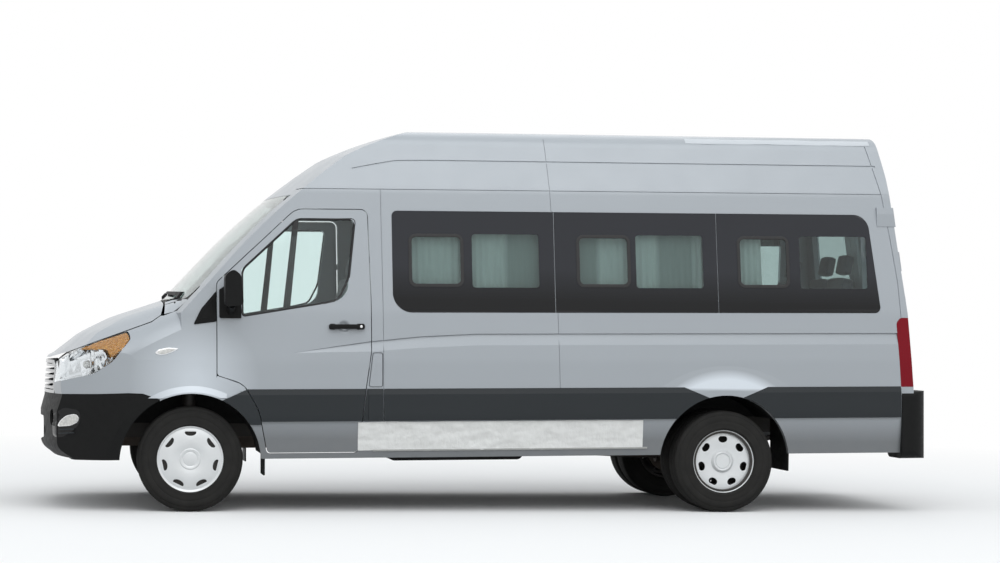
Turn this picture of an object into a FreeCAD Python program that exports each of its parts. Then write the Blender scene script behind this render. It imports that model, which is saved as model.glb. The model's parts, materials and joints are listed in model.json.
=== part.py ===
import FreeCAD, Part
import math
import os
from FreeCAD import Vector

# High-roof minibus, millimetres. Nose at -X, left side at -Y, +Z up.

# Overall sizes
WHEELBASE = 3570.0
FRONT_OVERHANG = 965.0
REAR_OVERHANG = 1455.0
BODY_HALF = 1025.0
ROOF_TOP = 2588.0
SILL_BOTTOM = 370.0
RAKE = 0.8
RAKE_PIVOT_Z = 600.0

# Places along the vehicle
FA = FRONT_OVERHANG - (FRONT_OVERHANG + WHEELBASE + REAR_OVERHANG) / 2
RA = FA + WHEELBASE
NOSE = FA - FRONT_OVERHANG
TAIL = RA + REAR_OVERHANG

# Walls and gaps
WALL = 55.0
GLASS = 6.0
DOOR_GLASS_INSET = 14.0
DOOR_GAP = 5.5
HOOD_WALL = 30.0
HOOD_GAP = 6.0
SEAT_GAP = 0.3
FIT_GAP = 0.4

# Body shape
FRONT_BULGE_RADIUS = 2900.0
REAR_BULGE_RADIUS = 9000.0
LOFT_HALF = 1150.0
WAIST_Z = 1000.0
WINDOW_LOW = 1322.0
WINDOW_TOP = 1994.0
GUTTER_Z = 2136.0
CREASE_Z = 2332.0
BEHIND_FRONT_DOOR = FA + 1250.0
DOOR_LOW = 409.0
TRIM_TOP = 823.0
TRIM_LOW = 612.0
TRIM_PROUD = 15.0
REAR_DOOR_LOW = 815.0
DOOR_SWING_ROOM = 1.1
REAR_DOOR_TOP = GUTTER_Z - DOOR_GAP - DOOR_SWING_ROOM
REAR_DOOR_HALF = 935.0
BUMPER_TOP = 790.0

# Towing eye threads in the rails
TOW_THREAD_RADIUS = 9.0
TOW_THREAD_DEEP = 60.0
TOW_ACCESS_RADIUS = 30.0

# Wheels and axles
TYRE_RADIUS = 342.0
TYRE_WIDTH = 195.0
RIM_RADIUS = 205.0
RIM_WIDTH = 150.0
FRONT_TRACK = 1720.0
TWIN_SPACING = 236.0
REAR_OUTER_Y = 890.0
ARCH_RADIUS = 455.0
REAR_ARCH_RADIUS = 450.0
KINGPIN_Y = 715.0
FLOOR_TOP = 650.0
FLOOR_THICK = 45.0
FLOOR_HALF = BODY_HALF - WALL - 16
RAIL_Y = 420.0
RAIL_WIDE = 80.0
RAIL_HIGH = 110.0

HUB_Z = TYRE_RADIUS
RAIL_LOW = FLOOR_TOP - FLOOR_THICK - RAIL_HIGH
TOW_Z = RAIL_LOW + RAIL_HIGH / 2
RAIL_FRONT = NOSE + 92.0
RAIL_REAR = RA + 1240.0
JACK_PADS = (FA + 700.0, RA - 900.0)
JACK_PAD_LONG = 120.0
JACK_PAD_DEEP = 15.0
LEAF_HALF = 720.0
GEARBOX_BACK = 640.0
GEARBOX_Z = 470.0
SHAFT_CLEAR = 2.4
HUB_BORE = 38.0
BIG = 4000.0

NODES = {}


def unit(u, v):
    size = math.hypot(u, v)
    return u / size, v / size


def point_in(plane, u, v, level):
    """A point of a drawing on one of the three main planes."""
    if plane == "xz":
        return Vector(u, level, v)
    if plane == "yz":
        return Vector(level, u, v)
    return Vector(u, v, level)


def wire(rows, plane, level=0.0):
    """Closed outline from corner rows: across, up, corner radius."""
    stops = []
    count = len(rows)
    for i, (u, v, radius) in enumerate(rows):
        before, after = rows[i - 1], rows[(i + 1) % count]
        a = unit(before[0] - u, before[1] - v)
        b = unit(after[0] - u, after[1] - v)
        half = math.acos(max(-1.0, min(1.0, a[0] * b[0] + a[1] * b[1]))) / 2
        if radius <= 0 or abs(half - math.pi / 2) < 1e-6:
            stops.append([(u, v)])
            continue
        reach = radius / math.tan(half)
        mid = unit(a[0] + b[0], a[1] + b[1])
        deep = radius / math.sin(half) - radius
        stops.append([(u + a[0] * reach, v + a[1] * reach),
                      (u + mid[0] * deep, v + mid[1] * deep),
                      (u + b[0] * reach, v + b[1] * reach)])
    edges = []
    for i, stop in enumerate(stops):
        here = [point_in(plane, p[0], p[1], level) for p in stop]
        if len(here) == 3:
            edges.append(Part.Arc(*here).toShape())
        nxt = stops[(i + 1) % count][0]
        following = point_in(plane, nxt[0], nxt[1], level)
        if here[-1].distanceToPoint(following) > 1e-4:
            edges.append(Part.makeLine(here[-1], following))
    return Part.Wire(edges)


def grown(rows, by):
    """The same outline with every side moved outwards."""
    count = len(rows)
    area = sum(rows[i - 1][0] * rows[i][1] - rows[i][0] * rows[i - 1][1] for i in range(count))
    turn = 1.0 if area > 0 else -1.0
    lines = []
    for i in range(count):
        u0, v0 = rows[i][0], rows[i][1]
        u1, v1 = rows[(i + 1) % count][0], rows[(i + 1) % count][1]
        du, dv = unit(u1 - u0, v1 - v0)
        lines.append((u0 + dv * turn * by, v0 - du * turn * by, du, dv))
    result = []
    for i in range(count):
        p, q = lines[i - 1], lines[i]
        cross = p[2] * q[3] - p[3] * q[2]
        if abs(cross) < 1e-9:
            u, v = q[0], q[1]
        else:
            t = ((q[0] - p[0]) * q[3] - (q[1] - p[1]) * q[2]) / cross
            u, v = p[0] + t * p[2], p[1] + t * p[3]
        radius = rows[i][2]
        if radius > 0:
            radius = max(radius + (by if cross * turn > 0 else -by), 1.0)
        result.append((u, v, radius))
    return result


def prism(rows, plane, start, end):
    """Outline of a plane pushed from one level to another."""
    face = Part.Face(wire(rows, plane, start))
    return face.extrude(point_in(plane, 0.0, 0.0, end - start))


def side_prism(rows, y0, y1):
    return prism(rows, "xz", y0, y1)


def front_prism(rows, x0, x1):
    return prism(rows, "yz", x0, x1)


def top_prism(rows, z0, z1):
    return prism(rows, "xy", z0, z1)


def box(x0, x1, y0, y1, z0, z1):
    return Part.makeBox(x1 - x0, y1 - y0, z1 - z0, Vector(x0, y0, z0))


def both_sides(shape):
    """A shape and its mirror image across the middle plane."""
    return Part.makeCompound([shape, mirror(shape)])


def mirror(shape):
    return shape.mirror(Vector(0, 0, 0), Vector(0, 1, 0))


def rod(a, b, radius):
    """Round bar between two points."""
    way = b - a
    return Part.makeCylinder(radius, way.Length, a, way)


def across(x, z, radius, y0, y1):
    """Cylinder that lies across the vehicle."""
    return Part.makeCylinder(radius, y1 - y0, Vector(x, y0, z), Vector(0, 1, 0))


def mirrored_rows(half):
    """Full front-view outline from its right-hand half, bottom first."""
    other = [(-u, v, r) for u, v, r in reversed(half) if u > 1e-6]
    return list(half) + other


def lowered(rows, inset, floor):
    """Drop the open bottom of an inner outline below the outer one."""
    if inset <= 0:
        return rows
    low = min(row[1] for row in rows)
    return [(u, floor - 3 * inset - 10 if v - low < 1.0 else v, r) for u, v, r in rows]


# Half of the cabin's front-view outline: y, z, corner radius
CABIN_SECTION = [
    (BODY_HALF - 40, SILL_BOTTOM, 0),
    (BODY_HALF - 6, 640, 300),
    (BODY_HALF, WAIST_Z, 600),
    (BODY_HALF - 18, WINDOW_LOW, 600),
    (BODY_HALF - 125, GUTTER_Z, 300),
    (BODY_HALF - 190, CREASE_Z, 60),
    (BODY_HALF - 262, ROOF_TOP - 62, 150),
    (0, ROOF_TOP + 6, 5000),
]

# Front of the cabin in side view on the middle plane: x, z, corner radius
CABIN_FRONT = [
    (FA - 240, SILL_BOTTOM, 0),
    (FA - 240, 1320, 0),
    (FA + 448, 2051, 4500),
    (FA + 912, 2366, 300),
    (FA + 1425, ROOF_TOP + 20, 2400),
    (TAIL + 400, ROOF_TOP + 20, 0),
    (TAIL + 400, SILL_BOTTOM, 0),
]

# Rear of the cabin in side view on the middle plane: x, z, corner radius
CABIN_REAR = [
    (NOSE - 100, SILL_BOTTOM, 0),
    (NOSE - 100, ROOF_TOP + 14, 0),
    (RA + 1150, ROOF_TOP + 14, 150),
    (RA + 1222, 2260, 500),
    (RA + 1344, 1318, 900),
    (RA + 1383, 800, 400),
    (RA + 1386, SILL_BOTTOM, 0),
]

# Side outline of the nose on the middle plane: x, z, corner radius
NOSE_PROFILE = [
    (FA - 40, SILL_BOTTOM - 25, 0),
    (FA - 40, 1448, 0),
    (FA - 510, 1292, 900),
    (FA - 715, 1188, 400),
    (FA - 880, 1058, 60),
    (FA - 925, 1035, 40),
    (FA - 946, 860, 300),
    (FA - 938, 780, 60),
    (NOSE, 680, 60),
    (NOSE, 445, 90),
    (FA - 840, SILL_BOTTOM - 25, 60),
]

# Front-view outline of the nose, 387 mm ahead of the front axle: y, z, corner radius
SHOULDER_AHEAD = 387.0
SHOULDER_SLOPE = 0.38
SHOULDER_REACH = 750.0
NOSE_SHOULDER = [
    (BODY_HALF - 0.8, -200, 0),
    (BODY_HALF - 0.8, 1150, 230),
    (BODY_HALF - 260, 1300, 420),
    (0, 1395, 4000),
]

# Top-view outline of the nose: x, y, corner radius
NOSE_PLAN = [
    (FA, BODY_HALF - 0.6, 0),
    (FA - 520, BODY_HALF - 0.6, 620),
    (FA - 925, BODY_HALF - 270, 260),
    (FA - 1200, 300, 0),
    (FA - 1200, -300, 0),
    (FA - 925, 270 - BODY_HALF, 260),
    (FA - 520, 0.6 - BODY_HALF, 620),
    (FA, 0.6 - BODY_HALF, 0),
]


def profile_loft(rows, bulge_radius):
    """Side outline carried across the vehicle and set back by a curve in plan."""
    wires = []
    for y in (-LOFT_HALF, 0.0, LOFT_HALF):
        back = y * y / (2 * bulge_radius)
        wires.append(wire([(x + back, z, radius) for x, z, radius in rows], "xz", y))
    return Part.makeLoft(wires, True, False)


def inner_rows(rows, inset, floor):
    """Outline moved inwards, with its lower end left open."""
    return lowered(grown(rows, -inset), inset, floor)


def hull(inset):
    """Outer form of the whole body, with every side moved inwards."""
    tube = front_prism(inner_rows(mirrored_rows(CABIN_SECTION), inset, SILL_BOTTOM), NOSE - 100, TAIL + 100)
    front = profile_loft(inner_rows(CABIN_FRONT, inset, SILL_BOTTOM), FRONT_BULGE_RADIUS)
    rear = profile_loft(inner_rows(CABIN_REAR, inset, SILL_BOTTOM), -REAR_BULGE_RADIUS)
    cabin = tube.common(front).common(rear)
    nose = profile_loft(inner_rows(NOSE_PROFILE, inset, SILL_BOTTOM - 25), FRONT_BULGE_RADIUS)
    start = FA - SHOULDER_AHEAD - SHOULDER_REACH
    drop = -SHOULDER_REACH * SHOULDER_SLOPE
    rows = inner_rows(mirrored_rows(NOSE_SHOULDER), inset, -200)
    face = Part.Face(wire([(u, v + drop, r) for u, v, r in rows], "yz", start))
    shoulder = face.extrude(Vector(2 * SHOULDER_REACH, 0, 2 * SHOULDER_REACH * SHOULDER_SLOPE))
    plan = top_prism(grown(NOSE_PLAN, -inset), -400, ROOF_TOP)
    nose = shoulder.common(plan).common(tube).common(nose)
    return cabin.fuse(nose)


HULLS = {}


def hull_at(inset):
    if inset not in HULLS:
        HULLS[inset] = hull(inset)
    return HULLS[inset]


def skin(outer, inner, region):
    """The part of the body's wall between two depths that lies in a region."""
    return region.common(hull_at(outer)).cut(hull_at(inner))


def keep(name, shape, sprung=True):
    NODES[name] = (shape, sprung)


# Stepped crease along the sides: x, height of its edge, height of its slope, depth
CREASE = [
    (FA + 665, 1064, 6, 0.5),
    (FA + 900, 1099, 36, 7),
    (FA + 1160, 1136, 70, 12),
    (FA + 1503, 1169, 78, 12),
    (FA + 1871, 1186, 80, 12),
    (RA + 1216, 1190, 80, 12),
]
CREASE_LIP = 5.0

# Grooves pressed into the panels or left between them, in side view: width, then x and z of each stop
GROOVES = [
    (15, [(FA + 1061, 2271), (FA + 1226, 2304), (FA + 1354, 2327), (FA + 1584, 2331), (RA + 1113, 2329)]),
    (4, [(FA + 2365, 2491), (FA + 2383, 2138), (FA + 2419, 1281), (FA + 2435, 612)]),
    (5, [(FA + 700, GUTTER_Z), (RA + 1130, GUTTER_Z)]),
    (4, [(BEHIND_FRONT_DOOR - 8, GUTTER_Z), (BEHIND_FRONT_DOOR, 1076), (BEHIND_FRONT_DOOR, 612)]),
    (5, [(RA + 1056, 2473), (RA + 1135, 2132), (RA + 1185, 1824), (RA + 1225, 1530), (RA + 1238, 1292)]),
]
GROOVE_DEEP = 6.0


def crease():
    """Wedge that is cut from the panels below the crease, on both sides."""
    wires = []
    for x, z, slope, deep in CREASE:
        foot = z - slope
        rows = [(-BODY_HALF - 15, z), (deep - side_half(z), z - CREASE_LIP), (-side_half(foot), foot),
                (-BODY_HALF - 15, foot)]
        wires.append(wire(flat(rows), "yz", x))
    return both_sides(Part.makeLoft(wires, True, True))


def side_half(z):
    """Half width of the cabin at a height between its widest place and the windows."""
    (wide, low), (narrow, high) = [row[:2] for row in CABIN_SECTION[2:4]]
    return wide + (narrow - wide) * (z - low) / (high - low)


def grooves():
    """Narrow bands of the outer skin along the seams, on both sides."""
    strips = []
    for width, stops in GROOVES:
        for (x0, z0), (x1, z1) in zip(stops, stops[1:]):
            du, dv = unit(x1 - x0, z1 - z0)
            u, v = dv * width / 2, -du * width / 2
            rows = [(x0 + u, z0 + v), (x1 + u, z1 + v), (x1 - u, z1 - v), (x0 - u, z0 - v)]
            strips.append(side_prism(flat(rows), -BODY_HALF - 100, -400))
    strips = Part.makeCompound(strips)
    return both_sides(strips.cut(hull_at(GROOVE_DEEP)))


def pressed(shape):
    """A panel with the side crease and the seams cut into it."""
    for cutter in (crease(), grooves()):
        shape = shape.cut(cutter)
    return biggest(shape)


def wheel_lip(x, z, radius, spread, region):
    """Bulge that rises towards the edge of a wheel arch."""
    rise = (spread - radius) / TRIM_PROUD
    cone = Part.makeCone(spread + 12 * rise, radius - 2 * rise, TRIM_PROUD + 14,
                         Vector(x, 12 - BODY_HALF, z), Vector(0, -1, 0))
    return skin(-TRIM_PROUD, 0, region.common(cone))


# Front door seen from the left side: x, z, corner radius
DOOR = [
    (FA + 167, 1515, 40),
    (FA + 167, 915, 25),
    (FA + 340, 860, 150),
    (FA + 440, 680, 300),
    (FA + 493, DOOR_LOW, 25),
    (FA + 1080, DOOR_LOW, 25),
    (FA + 1132, 822, 300),
    (FA + 1168, 1069, 300),
    (FA + 1168, 1400, 600),
    (FA + 1151, 1998, 45),
    (FA + 685, 1998, 120),
]

# Rubber stops behind the door's rear flange: x, z, corner radius
DOOR_BUFFERS = [
    [(FA + 1150, 960, 0), (FA + 1180, 960, 0), (FA + 1180, 1000, 0), (FA + 1150, 1000, 0)],
    [(FA + 1148, 1650, 0), (FA + 1180, 1650, 0), (FA + 1180, 1690, 0), (FA + 1148, 1690, 0)],
]

# Front door's window: x, z, corner radius
DOOR_WINDOW = [
    (FA + 325, 1290, 25),
    (FA + 830, 1372, 200),
    (FA + 1012, 1415, 110),
    (FA + 1073, 1940, 45),
    (FA + 690, 1940, 70),
    (FA + 325, 1602, 20),
]

# Side glazing band: x, z, corner radius
GLASS_BAND = [
    (FA + 1315, WINDOW_LOW, 130),
    (RA + 1098, WINDOW_LOW, 40),
    (RA + 1025, WINDOW_TOP, 110),
    (FA + 1315, WINDOW_TOP, 35),
]
BAND_FRONT = FA + 1315.0
BAND_SPLITS = (FA + 2404.0, FA + 3525.0)
BAND_REAR = RA + 1100.0
PANE_GAP = 5.0
PANE_MARGIN = 62.0

# Windshield seen from the front: y, z, corner radius
WINDSHIELD = [
    (890, 1412, 70),
    (800, 2095, 90),
    (-800, 2095, 90),
    (-890, 1412, 70),
]

# Line above which the nose belongs to the hood: x, z
HOOD_LINE = [
    (FA - 905, 1022),
    (FA - 780, 1062),
    (FA - 610, 1128),
    (FA - 387, 1208),
    (FA - 250, 1258),
    (FA - 190, 1300),
    (FA - 160, 1385),
]

# Rubber stop under the hood's edge: x, z, corner radius
HOOD_BUFFER = [
    (FA - 330, 1221, 0),
    (FA - 300, 1232, 0),
    (FA - 300, 1239.7 + HOOD_GAP - FIT_GAP, 0),
    (FA - 330, 1228.8 + HOOD_GAP - FIT_GAP, 0),
]

# Headlamp seen from the left side: x, z, corner radius
HEADLAMP = [
    (FA - 905, 860, 20),
    (FA - 620, 925, 120),
    (FA - 500, 1005, 120),
    (FA - 385, 1150, 25),
    (FA - 400, 1205, 20),
    (FA - 610, 1130, 300),
    (FA - 780, 1062, 200),
    (FA - 860, 1000, 60),
]

# Top edge of the front bumper seen from the side: x, z
BUMPER_LINE = [
    (FA - 1200, BUMPER_TOP),
    (FA - 600, BUMPER_TOP + 6),
    (FA - 400, BUMPER_TOP + 12),
    (FA - 310, BUMPER_TOP + 8),
    (FA - 200, BUMPER_TOP - 30),
]


def flat(rows):
    return [(row[0], row[1], 0) for row in rows]


def left(rows, depth=600.0):
    """Side-view region that reaches from outside the left side inwards."""
    return side_prism(rows, -BODY_HALF - 100, -BODY_HALF + depth)


def front_arch(grow=0.0):
    reach = BODY_HALF + 200
    return across(FA, HUB_Z, ARCH_RADIUS + grow, -reach, reach)


def rear_arch(grow=0.0):
    reach = BODY_HALF + 200
    return across(RA, HUB_Z - 25, REAR_ARCH_RADIUS + grow, -reach, reach)


def hood_region(shift):
    """Everything above the hood line, with a gap to it."""
    rows = [(x, z + shift, 0) for x, z in HOOD_LINE]
    last = HOOD_LINE[-1]
    rows[-1] = (last[0] - shift, last[1], 0)
    rows += [(last[0] - shift, 1700, 0), (NOSE - 200, 1700, 0), (NOSE - 200, HOOD_LINE[0][1] + shift, 0)]
    return side_prism(rows, -BIG, BIG)


def bumper_region(gap=0.0):
    rows = [(x, z - gap, 0) for x, z in BUMPER_LINE]
    rows += [(FA - 200, 200, 0), (FA - 1200, 200, 0)]
    return side_prism(rows, -BIG, BIG)


def windshield_region(grow=0.0):
    return front_prism(grown(WINDSHIELD, grow), NOSE, FA + 1000)


def door_pair(half_region):
    return half_region.fuse(mirror(half_region))


def door_opening():
    return left(grown(DOOR, DOOR_GAP), 900)


def pane_rows(front, rear):
    """Opening behind one pane of the side glazing."""
    low, top = WINDOW_LOW + PANE_MARGIN, WINDOW_TOP - PANE_MARGIN
    return [(front, low, 60), (rear, low, 60), (rear, top, 60), (front, top, 60)]


def glass_bands():
    """Three flush panes with thin gaps between them."""
    band = left(GLASS_BAND)
    gaps = [box(x - PANE_GAP / 2, x + PANE_GAP / 2, -BIG, BIG, 0, BIG) for x in BAND_SPLITS]
    panes = skin(0, GLASS, band)
    for gap in gaps:
        panes = panes.cut(gap)
    return panes


def side_openings():
    """Window openings through one side wall behind the glazing."""
    fronts = [BAND_FRONT + 75, BAND_SPLITS[0] + 45, BAND_SPLITS[1] + 45]
    rears = [BAND_SPLITS[0] - 45, BAND_SPLITS[1] - 45, BAND_REAR - 125]
    return [left(pane_rows(a, b), 400) for a, b in zip(fronts, rears)]


def make_body_sides():
    """Left and right body side behind the front doors, below the gutter."""
    region = box(BEHIND_FRONT_DOOR, TAIL + 50, -BIG, -400, SILL_BOTTOM - 5, GUTTER_Z)
    wall = skin(0, WALL, region)
    below_door = box(RA + 1000, TAIL + 100, -REAR_DOOR_HALF, 0, 0, REAR_DOOR_LOW)
    wall = wall.cut(below_door).cut(rear_door_region(DOOR_GAP)).cut(rear_arch())
    wall = wall.cut(glass_recess())
    for opening in side_openings():
        wall = wall.cut(opening)
    wall = wall.cut(tail_lamp_region(FIT_GAP))
    flare = wheel_lip(RA, HUB_Z - 25, REAR_ARCH_RADIUS, FLARE_RADIUS, flare_region())
    side = pressed(wall).fuse([flare] + body_leaves())
    keep("body_side_left", side)
    right = mirror(side).cut(mirror(left(grown(SLIDING_DOOR, DOOR_GAP), 400)))
    keep("body_side_right", right)


FLARE_RADIUS = 640.0
FLARE_TOP = 1060.0

# Top edge of the dark band where it drops to the rear arch, either side of the axle: x, z
TRIM_DROP = [(290.0, TRIM_TOP), (118.0, 752.0), (0.0, 712.0)]


def flare_region():
    """Painted bulge over the rear wheel, above the dark band."""
    low, high = TRIM_TOP + FIT_GAP, FLARE_TOP
    front = [(RA - x, z + FIT_GAP) for x, z in TRIM_DROP]
    rear = [(RA + x, z + FIT_GAP) for x, z in TRIM_DROP[-2::-1]]
    ends = [(RA + 700, low), (RA + 700, high), (RA - 700, high), (RA - 700, low)]
    return side_prism(flat(front + rear + ends), -BIG, -400).cut(rear_arch())


def glass_recess():
    return left(grown(GLASS_BAND, 1.0)).cut(hull_at(GLASS))


# Sliding door on the right side, drawn on the left: x, z, corner radius
SLIDING_DOOR = [
    (BEHIND_FRONT_DOOR + 12, 420, 30),
    (FA + 2395, 420, 30),
    (FA + 2395, GUTTER_Z - 40, 60),
    (BEHIND_FRONT_DOOR + 12, GUTTER_Z - 40, 60),
]

# Tail lamp seen from the side: x, z, corner radius
TAIL_LAMP = [
    (RA + 1235, REAR_DOOR_LOW + 5, 8),
    (RA + 1450, REAR_DOOR_LOW + 5, 0),
    (RA + 1450, 1290, 0),
    (RA + 1232, 1290, 30),
    (RA + 1205, 1255, 40),
]


def tail_lamp_region(grow=0.0):
    return side_prism(grown(TAIL_LAMP, grow), -BIG, -REAR_DOOR_HALF - 12 + grow)


def make_tail_lamps():
    lamp = skin(0, WALL, tail_lamp_region())
    keep("tail_lamps", both_sides(lamp))


def make_sliding_door():
    """Sliding door with its two window openings."""
    rebate = skin(FLANGE, HOOD_WALL, left(grown(SLIDING_DOOR, DOOR_GAP - FIT_GAP), 400))
    door = skin(0, WALL, left(SLIDING_DOOR, 400)).cut(glass_recess()).fuse(rebate)
    for opening in side_openings()[:1]:
        door = door.cut(opening)
    keep("sliding_door", mirror(pressed(door)))


def make_side_glass():
    panes = glass_bands()
    keep("side_glass", both_sides(panes))


def make_roof():
    region = box(NOSE, TAIL + 100, -BIG, BIG, GUTTER_Z + 0.4, BIG)
    header = box(FA, FA + 1000, -BIG, BIG, 2097, GUTTER_Z + 1).cut(door_pair(door_opening()))
    header = header.common(front_prism([(815, 2000, 0), (815, 2200, 0), (-815, 2200, 0), (-815, 2000, 0)],
                                       NOSE, FA + 900))
    roof = skin(0, WALL, region.fuse(header))
    roof = roof.cut(windshield_region(FIT_GAP))
    keep("roof_cap", pressed(roof))


def make_cab_pillars():
    """Left and right cab frame: screen pillar, door surround and centre pillar."""
    region = box(FA - 300, BEHIND_FRONT_DOOR - 0.4, -BIG, -200, SILL_BOTTOM - 5, GUTTER_Z)
    frame = skin(0, WALL, region)
    frame = frame.cut(left(grown(DOOR, DOOR_GAP), 900))
    frame = frame.cut(windshield_region(FIT_GAP))
    frame = frame.cut(fender_region(FIT_GAP))
    frame = frame.cut(box(NOSE, FA + 830, -815, 0, 2060, BIG))
    frame = frame.cut(front_arch())
    frame = frame.cut(box(NOSE, FA + 60, -BIG, 0, 0, 1400))
    buffers = [skin(FLANGE, HOOD_WALL, left(rows, 400)) for rows in DOOR_BUFFERS]
    frame = pressed(biggest(frame)).fuse([moved_in(buffer) for buffer in buffers])
    keep("cab_frame_right", mirror(frame))
    frame = frame.cut(left(grown(FUEL_FLAP, DOOR_GAP), FLAP_POCKET))
    stop = skin(GLASS, WALL, left(FLAP_STOP, FLAP_POCKET + 5))
    keep("cab_frame_left", biggest(frame.fuse(moved_in(stop))))


def moved_in(shape):
    """Stop behind a panel, set a little inwards so that the two don't touch."""
    shape.translate(Vector(0, SEAT_GAP, 0))
    return shape


def biggest(shape):
    return max(shape.Solids, key=lambda solid: solid.Volume)


# Fuel flap seen from the left side: x, z, corner radius
FUEL_FLAP = [
    (FA + 1156, 838, 12),
    (FA + 1241, 838, 12),
    (FA + 1241, 1055, 12),
    (FA + 1182, 1055, 12),
]


FLAP_POCKET = 30.0
FLAP_STOP = [(FA + 1166, 870, 0), (FA + 1182, 870, 0), (FA + 1182, 892, 0), (FA + 1166, 892, 0)]


def make_fuel_flap():
    keep("fuel_flap", skin(0, GLASS, left(FUEL_FLAP, 60)))


def fender_region(grow=0.0):
    rows = [
        (NOSE - 100, 300, 0),
        (FA + 500, 300, 0),
        (FA + 500, 700, 0),
        (FA + 161.5 + grow, 900, 0),
        (FA + 161.5 + grow, 1470 + grow, 0),
        (FA + 70, 1500 + grow, 0),
        (NOSE - 100, 1500 + grow, 0),
    ]
    return side_prism(rows, -BIG, BIG)


def make_fenders():
    """Front fenders with the painted panel below each headlamp."""
    region = fender_region().common(box(NOSE - 100, FA + 500, -BIG, -300, 0, BIG))
    wing = skin(0, WALL, region)
    wing = wing.cut(bumper_region(-FIT_GAP)).cut(front_arch()).cut(hood_region(0))
    wing = wing.cut(left(grown(HEADLAMP, FIT_GAP), 900))
    wing = wing.cut(left(grown(DOOR, DOOR_GAP), 900))
    wing = wing.cut(box(NOSE - 100, FA - 700, -GRILLE_HALF - 4, 0, 0, BIG))
    wing = wing.cut(windshield_region(FIT_GAP))
    wing = wing.cut(box(NOSE, FA + 60, -905, 0, 1300, BIG))
    buffer = skin(FLANGE, HOOD_WALL, left(HOOD_BUFFER, 400))
    above = box(FA - 310, FA + 228, -BIG, -400, BUMPER_TOP - 22, 1000)
    lip = wheel_lip(FA, HUB_Z, ARCH_RADIUS, ARCH_RADIUS + 42, above.cut(front_arch()))
    keep("fenders", both_sides(biggest(wing).fuse([buffer, lip])))


GRILLE_HALF = 640.0
GRILLE_LOW = 793.7
GRILLE_TOP = 1012.0
GRILLE_BARS = 5
GRILLE_BAR_HIGH = 17.0


def make_hood():
    shell = skin(0, HOOD_WALL, hood_region(HOOD_GAP))
    keep("hood", biggest(shell))


WIPER_Y = (-720.0, -20.0)
WIPER_FOOT_X = FA - 150.0


def make_cowl():
    """Black panel between the hood and the windshield."""
    region = box(FA - 160, FA + 60, -905, 905, 1300, 1460)
    cowl = skin(0, HOOD_WALL, region).cut(windshield_region(FIT_GAP)).cut(hood_region(0))
    blades = [skin(-TRIM_PROUD, 0, front_prism(wiper_rows(y), WIPER_FOOT_X, FA + 300)) for y in WIPER_Y]
    keep("cowl_panel", biggest(cowl).fuse(blades))


def wiper_rows(y):
    """Arm from the cowl to the glass, and the blade along the glass, seen from the front."""
    return [(y, 1385, 0), (y + 24, 1385, 0), (y + 60, 1436, 0), (y + 640, 1456, 0), (y + 640, 1472, 0),
            (y + 40, 1460, 0)]


def make_headlamps():
    lamp = skin(0, WALL, left(HEADLAMP, 380))
    fog = rod(Vector(NOSE, -FOG_LAMP_Y, FOG_LAMP_Z), Vector(FA - 800, -FOG_LAMP_Y, FOG_LAMP_Z), FOG_RADIUS)
    fog = fog.common(hull_at(DOOR_GLASS_INSET))
    keep("front_lamps", both_sides(Part.makeCompound([biggest(lamp), fog])))


def make_grille():
    """Surround with bars that follow the curve of the nose."""
    outer = [(GRILLE_HALF, GRILLE_LOW, 30), (GRILLE_HALF, GRILLE_TOP - 40, 40),
             (GRILLE_HALF - 120, GRILLE_TOP, 60)]
    outer = outer + [(-u, v, r) for u, v, r in reversed(outer)]
    inner = grown(outer, -22)
    ring = front_prism(outer, NOSE - 50, FA - 700).cut(front_prism(inner, NOSE - 50, FA - 700))
    grille = skin(0, HOOD_WALL, ring)
    pitch = (GRILLE_TOP - GRILLE_LOW) / (GRILLE_BARS + 1)
    for i in range(GRILLE_BARS):
        z = GRILLE_LOW + pitch * (i + 1)
        slab = box(NOSE - 50, FA - 700, -GRILLE_HALF + 12, GRILLE_HALF - 12, z - GRILLE_BAR_HIGH / 2,
                   z + GRILLE_BAR_HIGH / 2)
        grille = grille.fuse(skin(GLASS, HOOD_WALL, slab))
    keep("grille", grille)


INTAKE = [(370, 470, 40), (370, 640, 40), (-370, 640, 40), (-370, 470, 40)]
FOG_LAMP_Y = 670.0
FOG_LAMP_Z = 640.0
FOG_RADIUS = 52.0


def tow_access(x0, x1):
    """Round hole that a towing eye passes through."""
    return Part.makeCylinder(TOW_ACCESS_RADIUS, x1 - x0, Vector(x0, -RAIL_Y, TOW_Z), Vector(1, 0, 0))


def make_bumpers():
    front = skin(0, WALL, bumper_region()).cut(front_arch(3.0))
    front = front.cut(front_prism(INTAKE, NOSE - 50, FA - 500))
    fog = rod(Vector(NOSE - 100, -FOG_LAMP_Y, FOG_LAMP_Z), Vector(FA - 600, -FOG_LAMP_Y, FOG_LAMP_Z),
              FOG_RADIUS + FIT_GAP)
    front = front.cut(door_pair(fog)).cut(tow_access(NOSE - 50, NOSE + 300))
    keep("front_bumper", biggest(front))
    rows = [
        (BODY_HALF - 300, 330, 60),
        (BODY_HALF + 5, 330, 60),
        (BODY_HALF + 5, 790, 40),
        (-BODY_HALF - 5, 790, 40),
        (-BODY_HALF - 5, 330, 60),
        (300 - BODY_HALF, 330, 60),
        (300 - BODY_HALF, 480, 60),
        (BODY_HALF - 300, 480, 60),
    ]
    plan = [
        (RA + 700, BODY_HALF + 5, 0),
        (RA + 1425, BODY_HALF + 5, 120),
        (TAIL, 500, 1500),
        (TAIL, -500, 1500),
        (RA + 1425, -BODY_HALF - 5, 120),
        (RA + 700, -BODY_HALF - 5, 0),
    ]
    solid = front_prism(rows, RA + 1240, TAIL + 10).common(top_prism(plan, 300, 900))
    inner = top_prism(grown(plan, -60), 380, 760)
    rear = solid.cut(inner).cut(hull_at(0))
    keep("rear_bumper", biggest(rear.cut(tow_access(TAIL - 300, TAIL + 50))))


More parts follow.
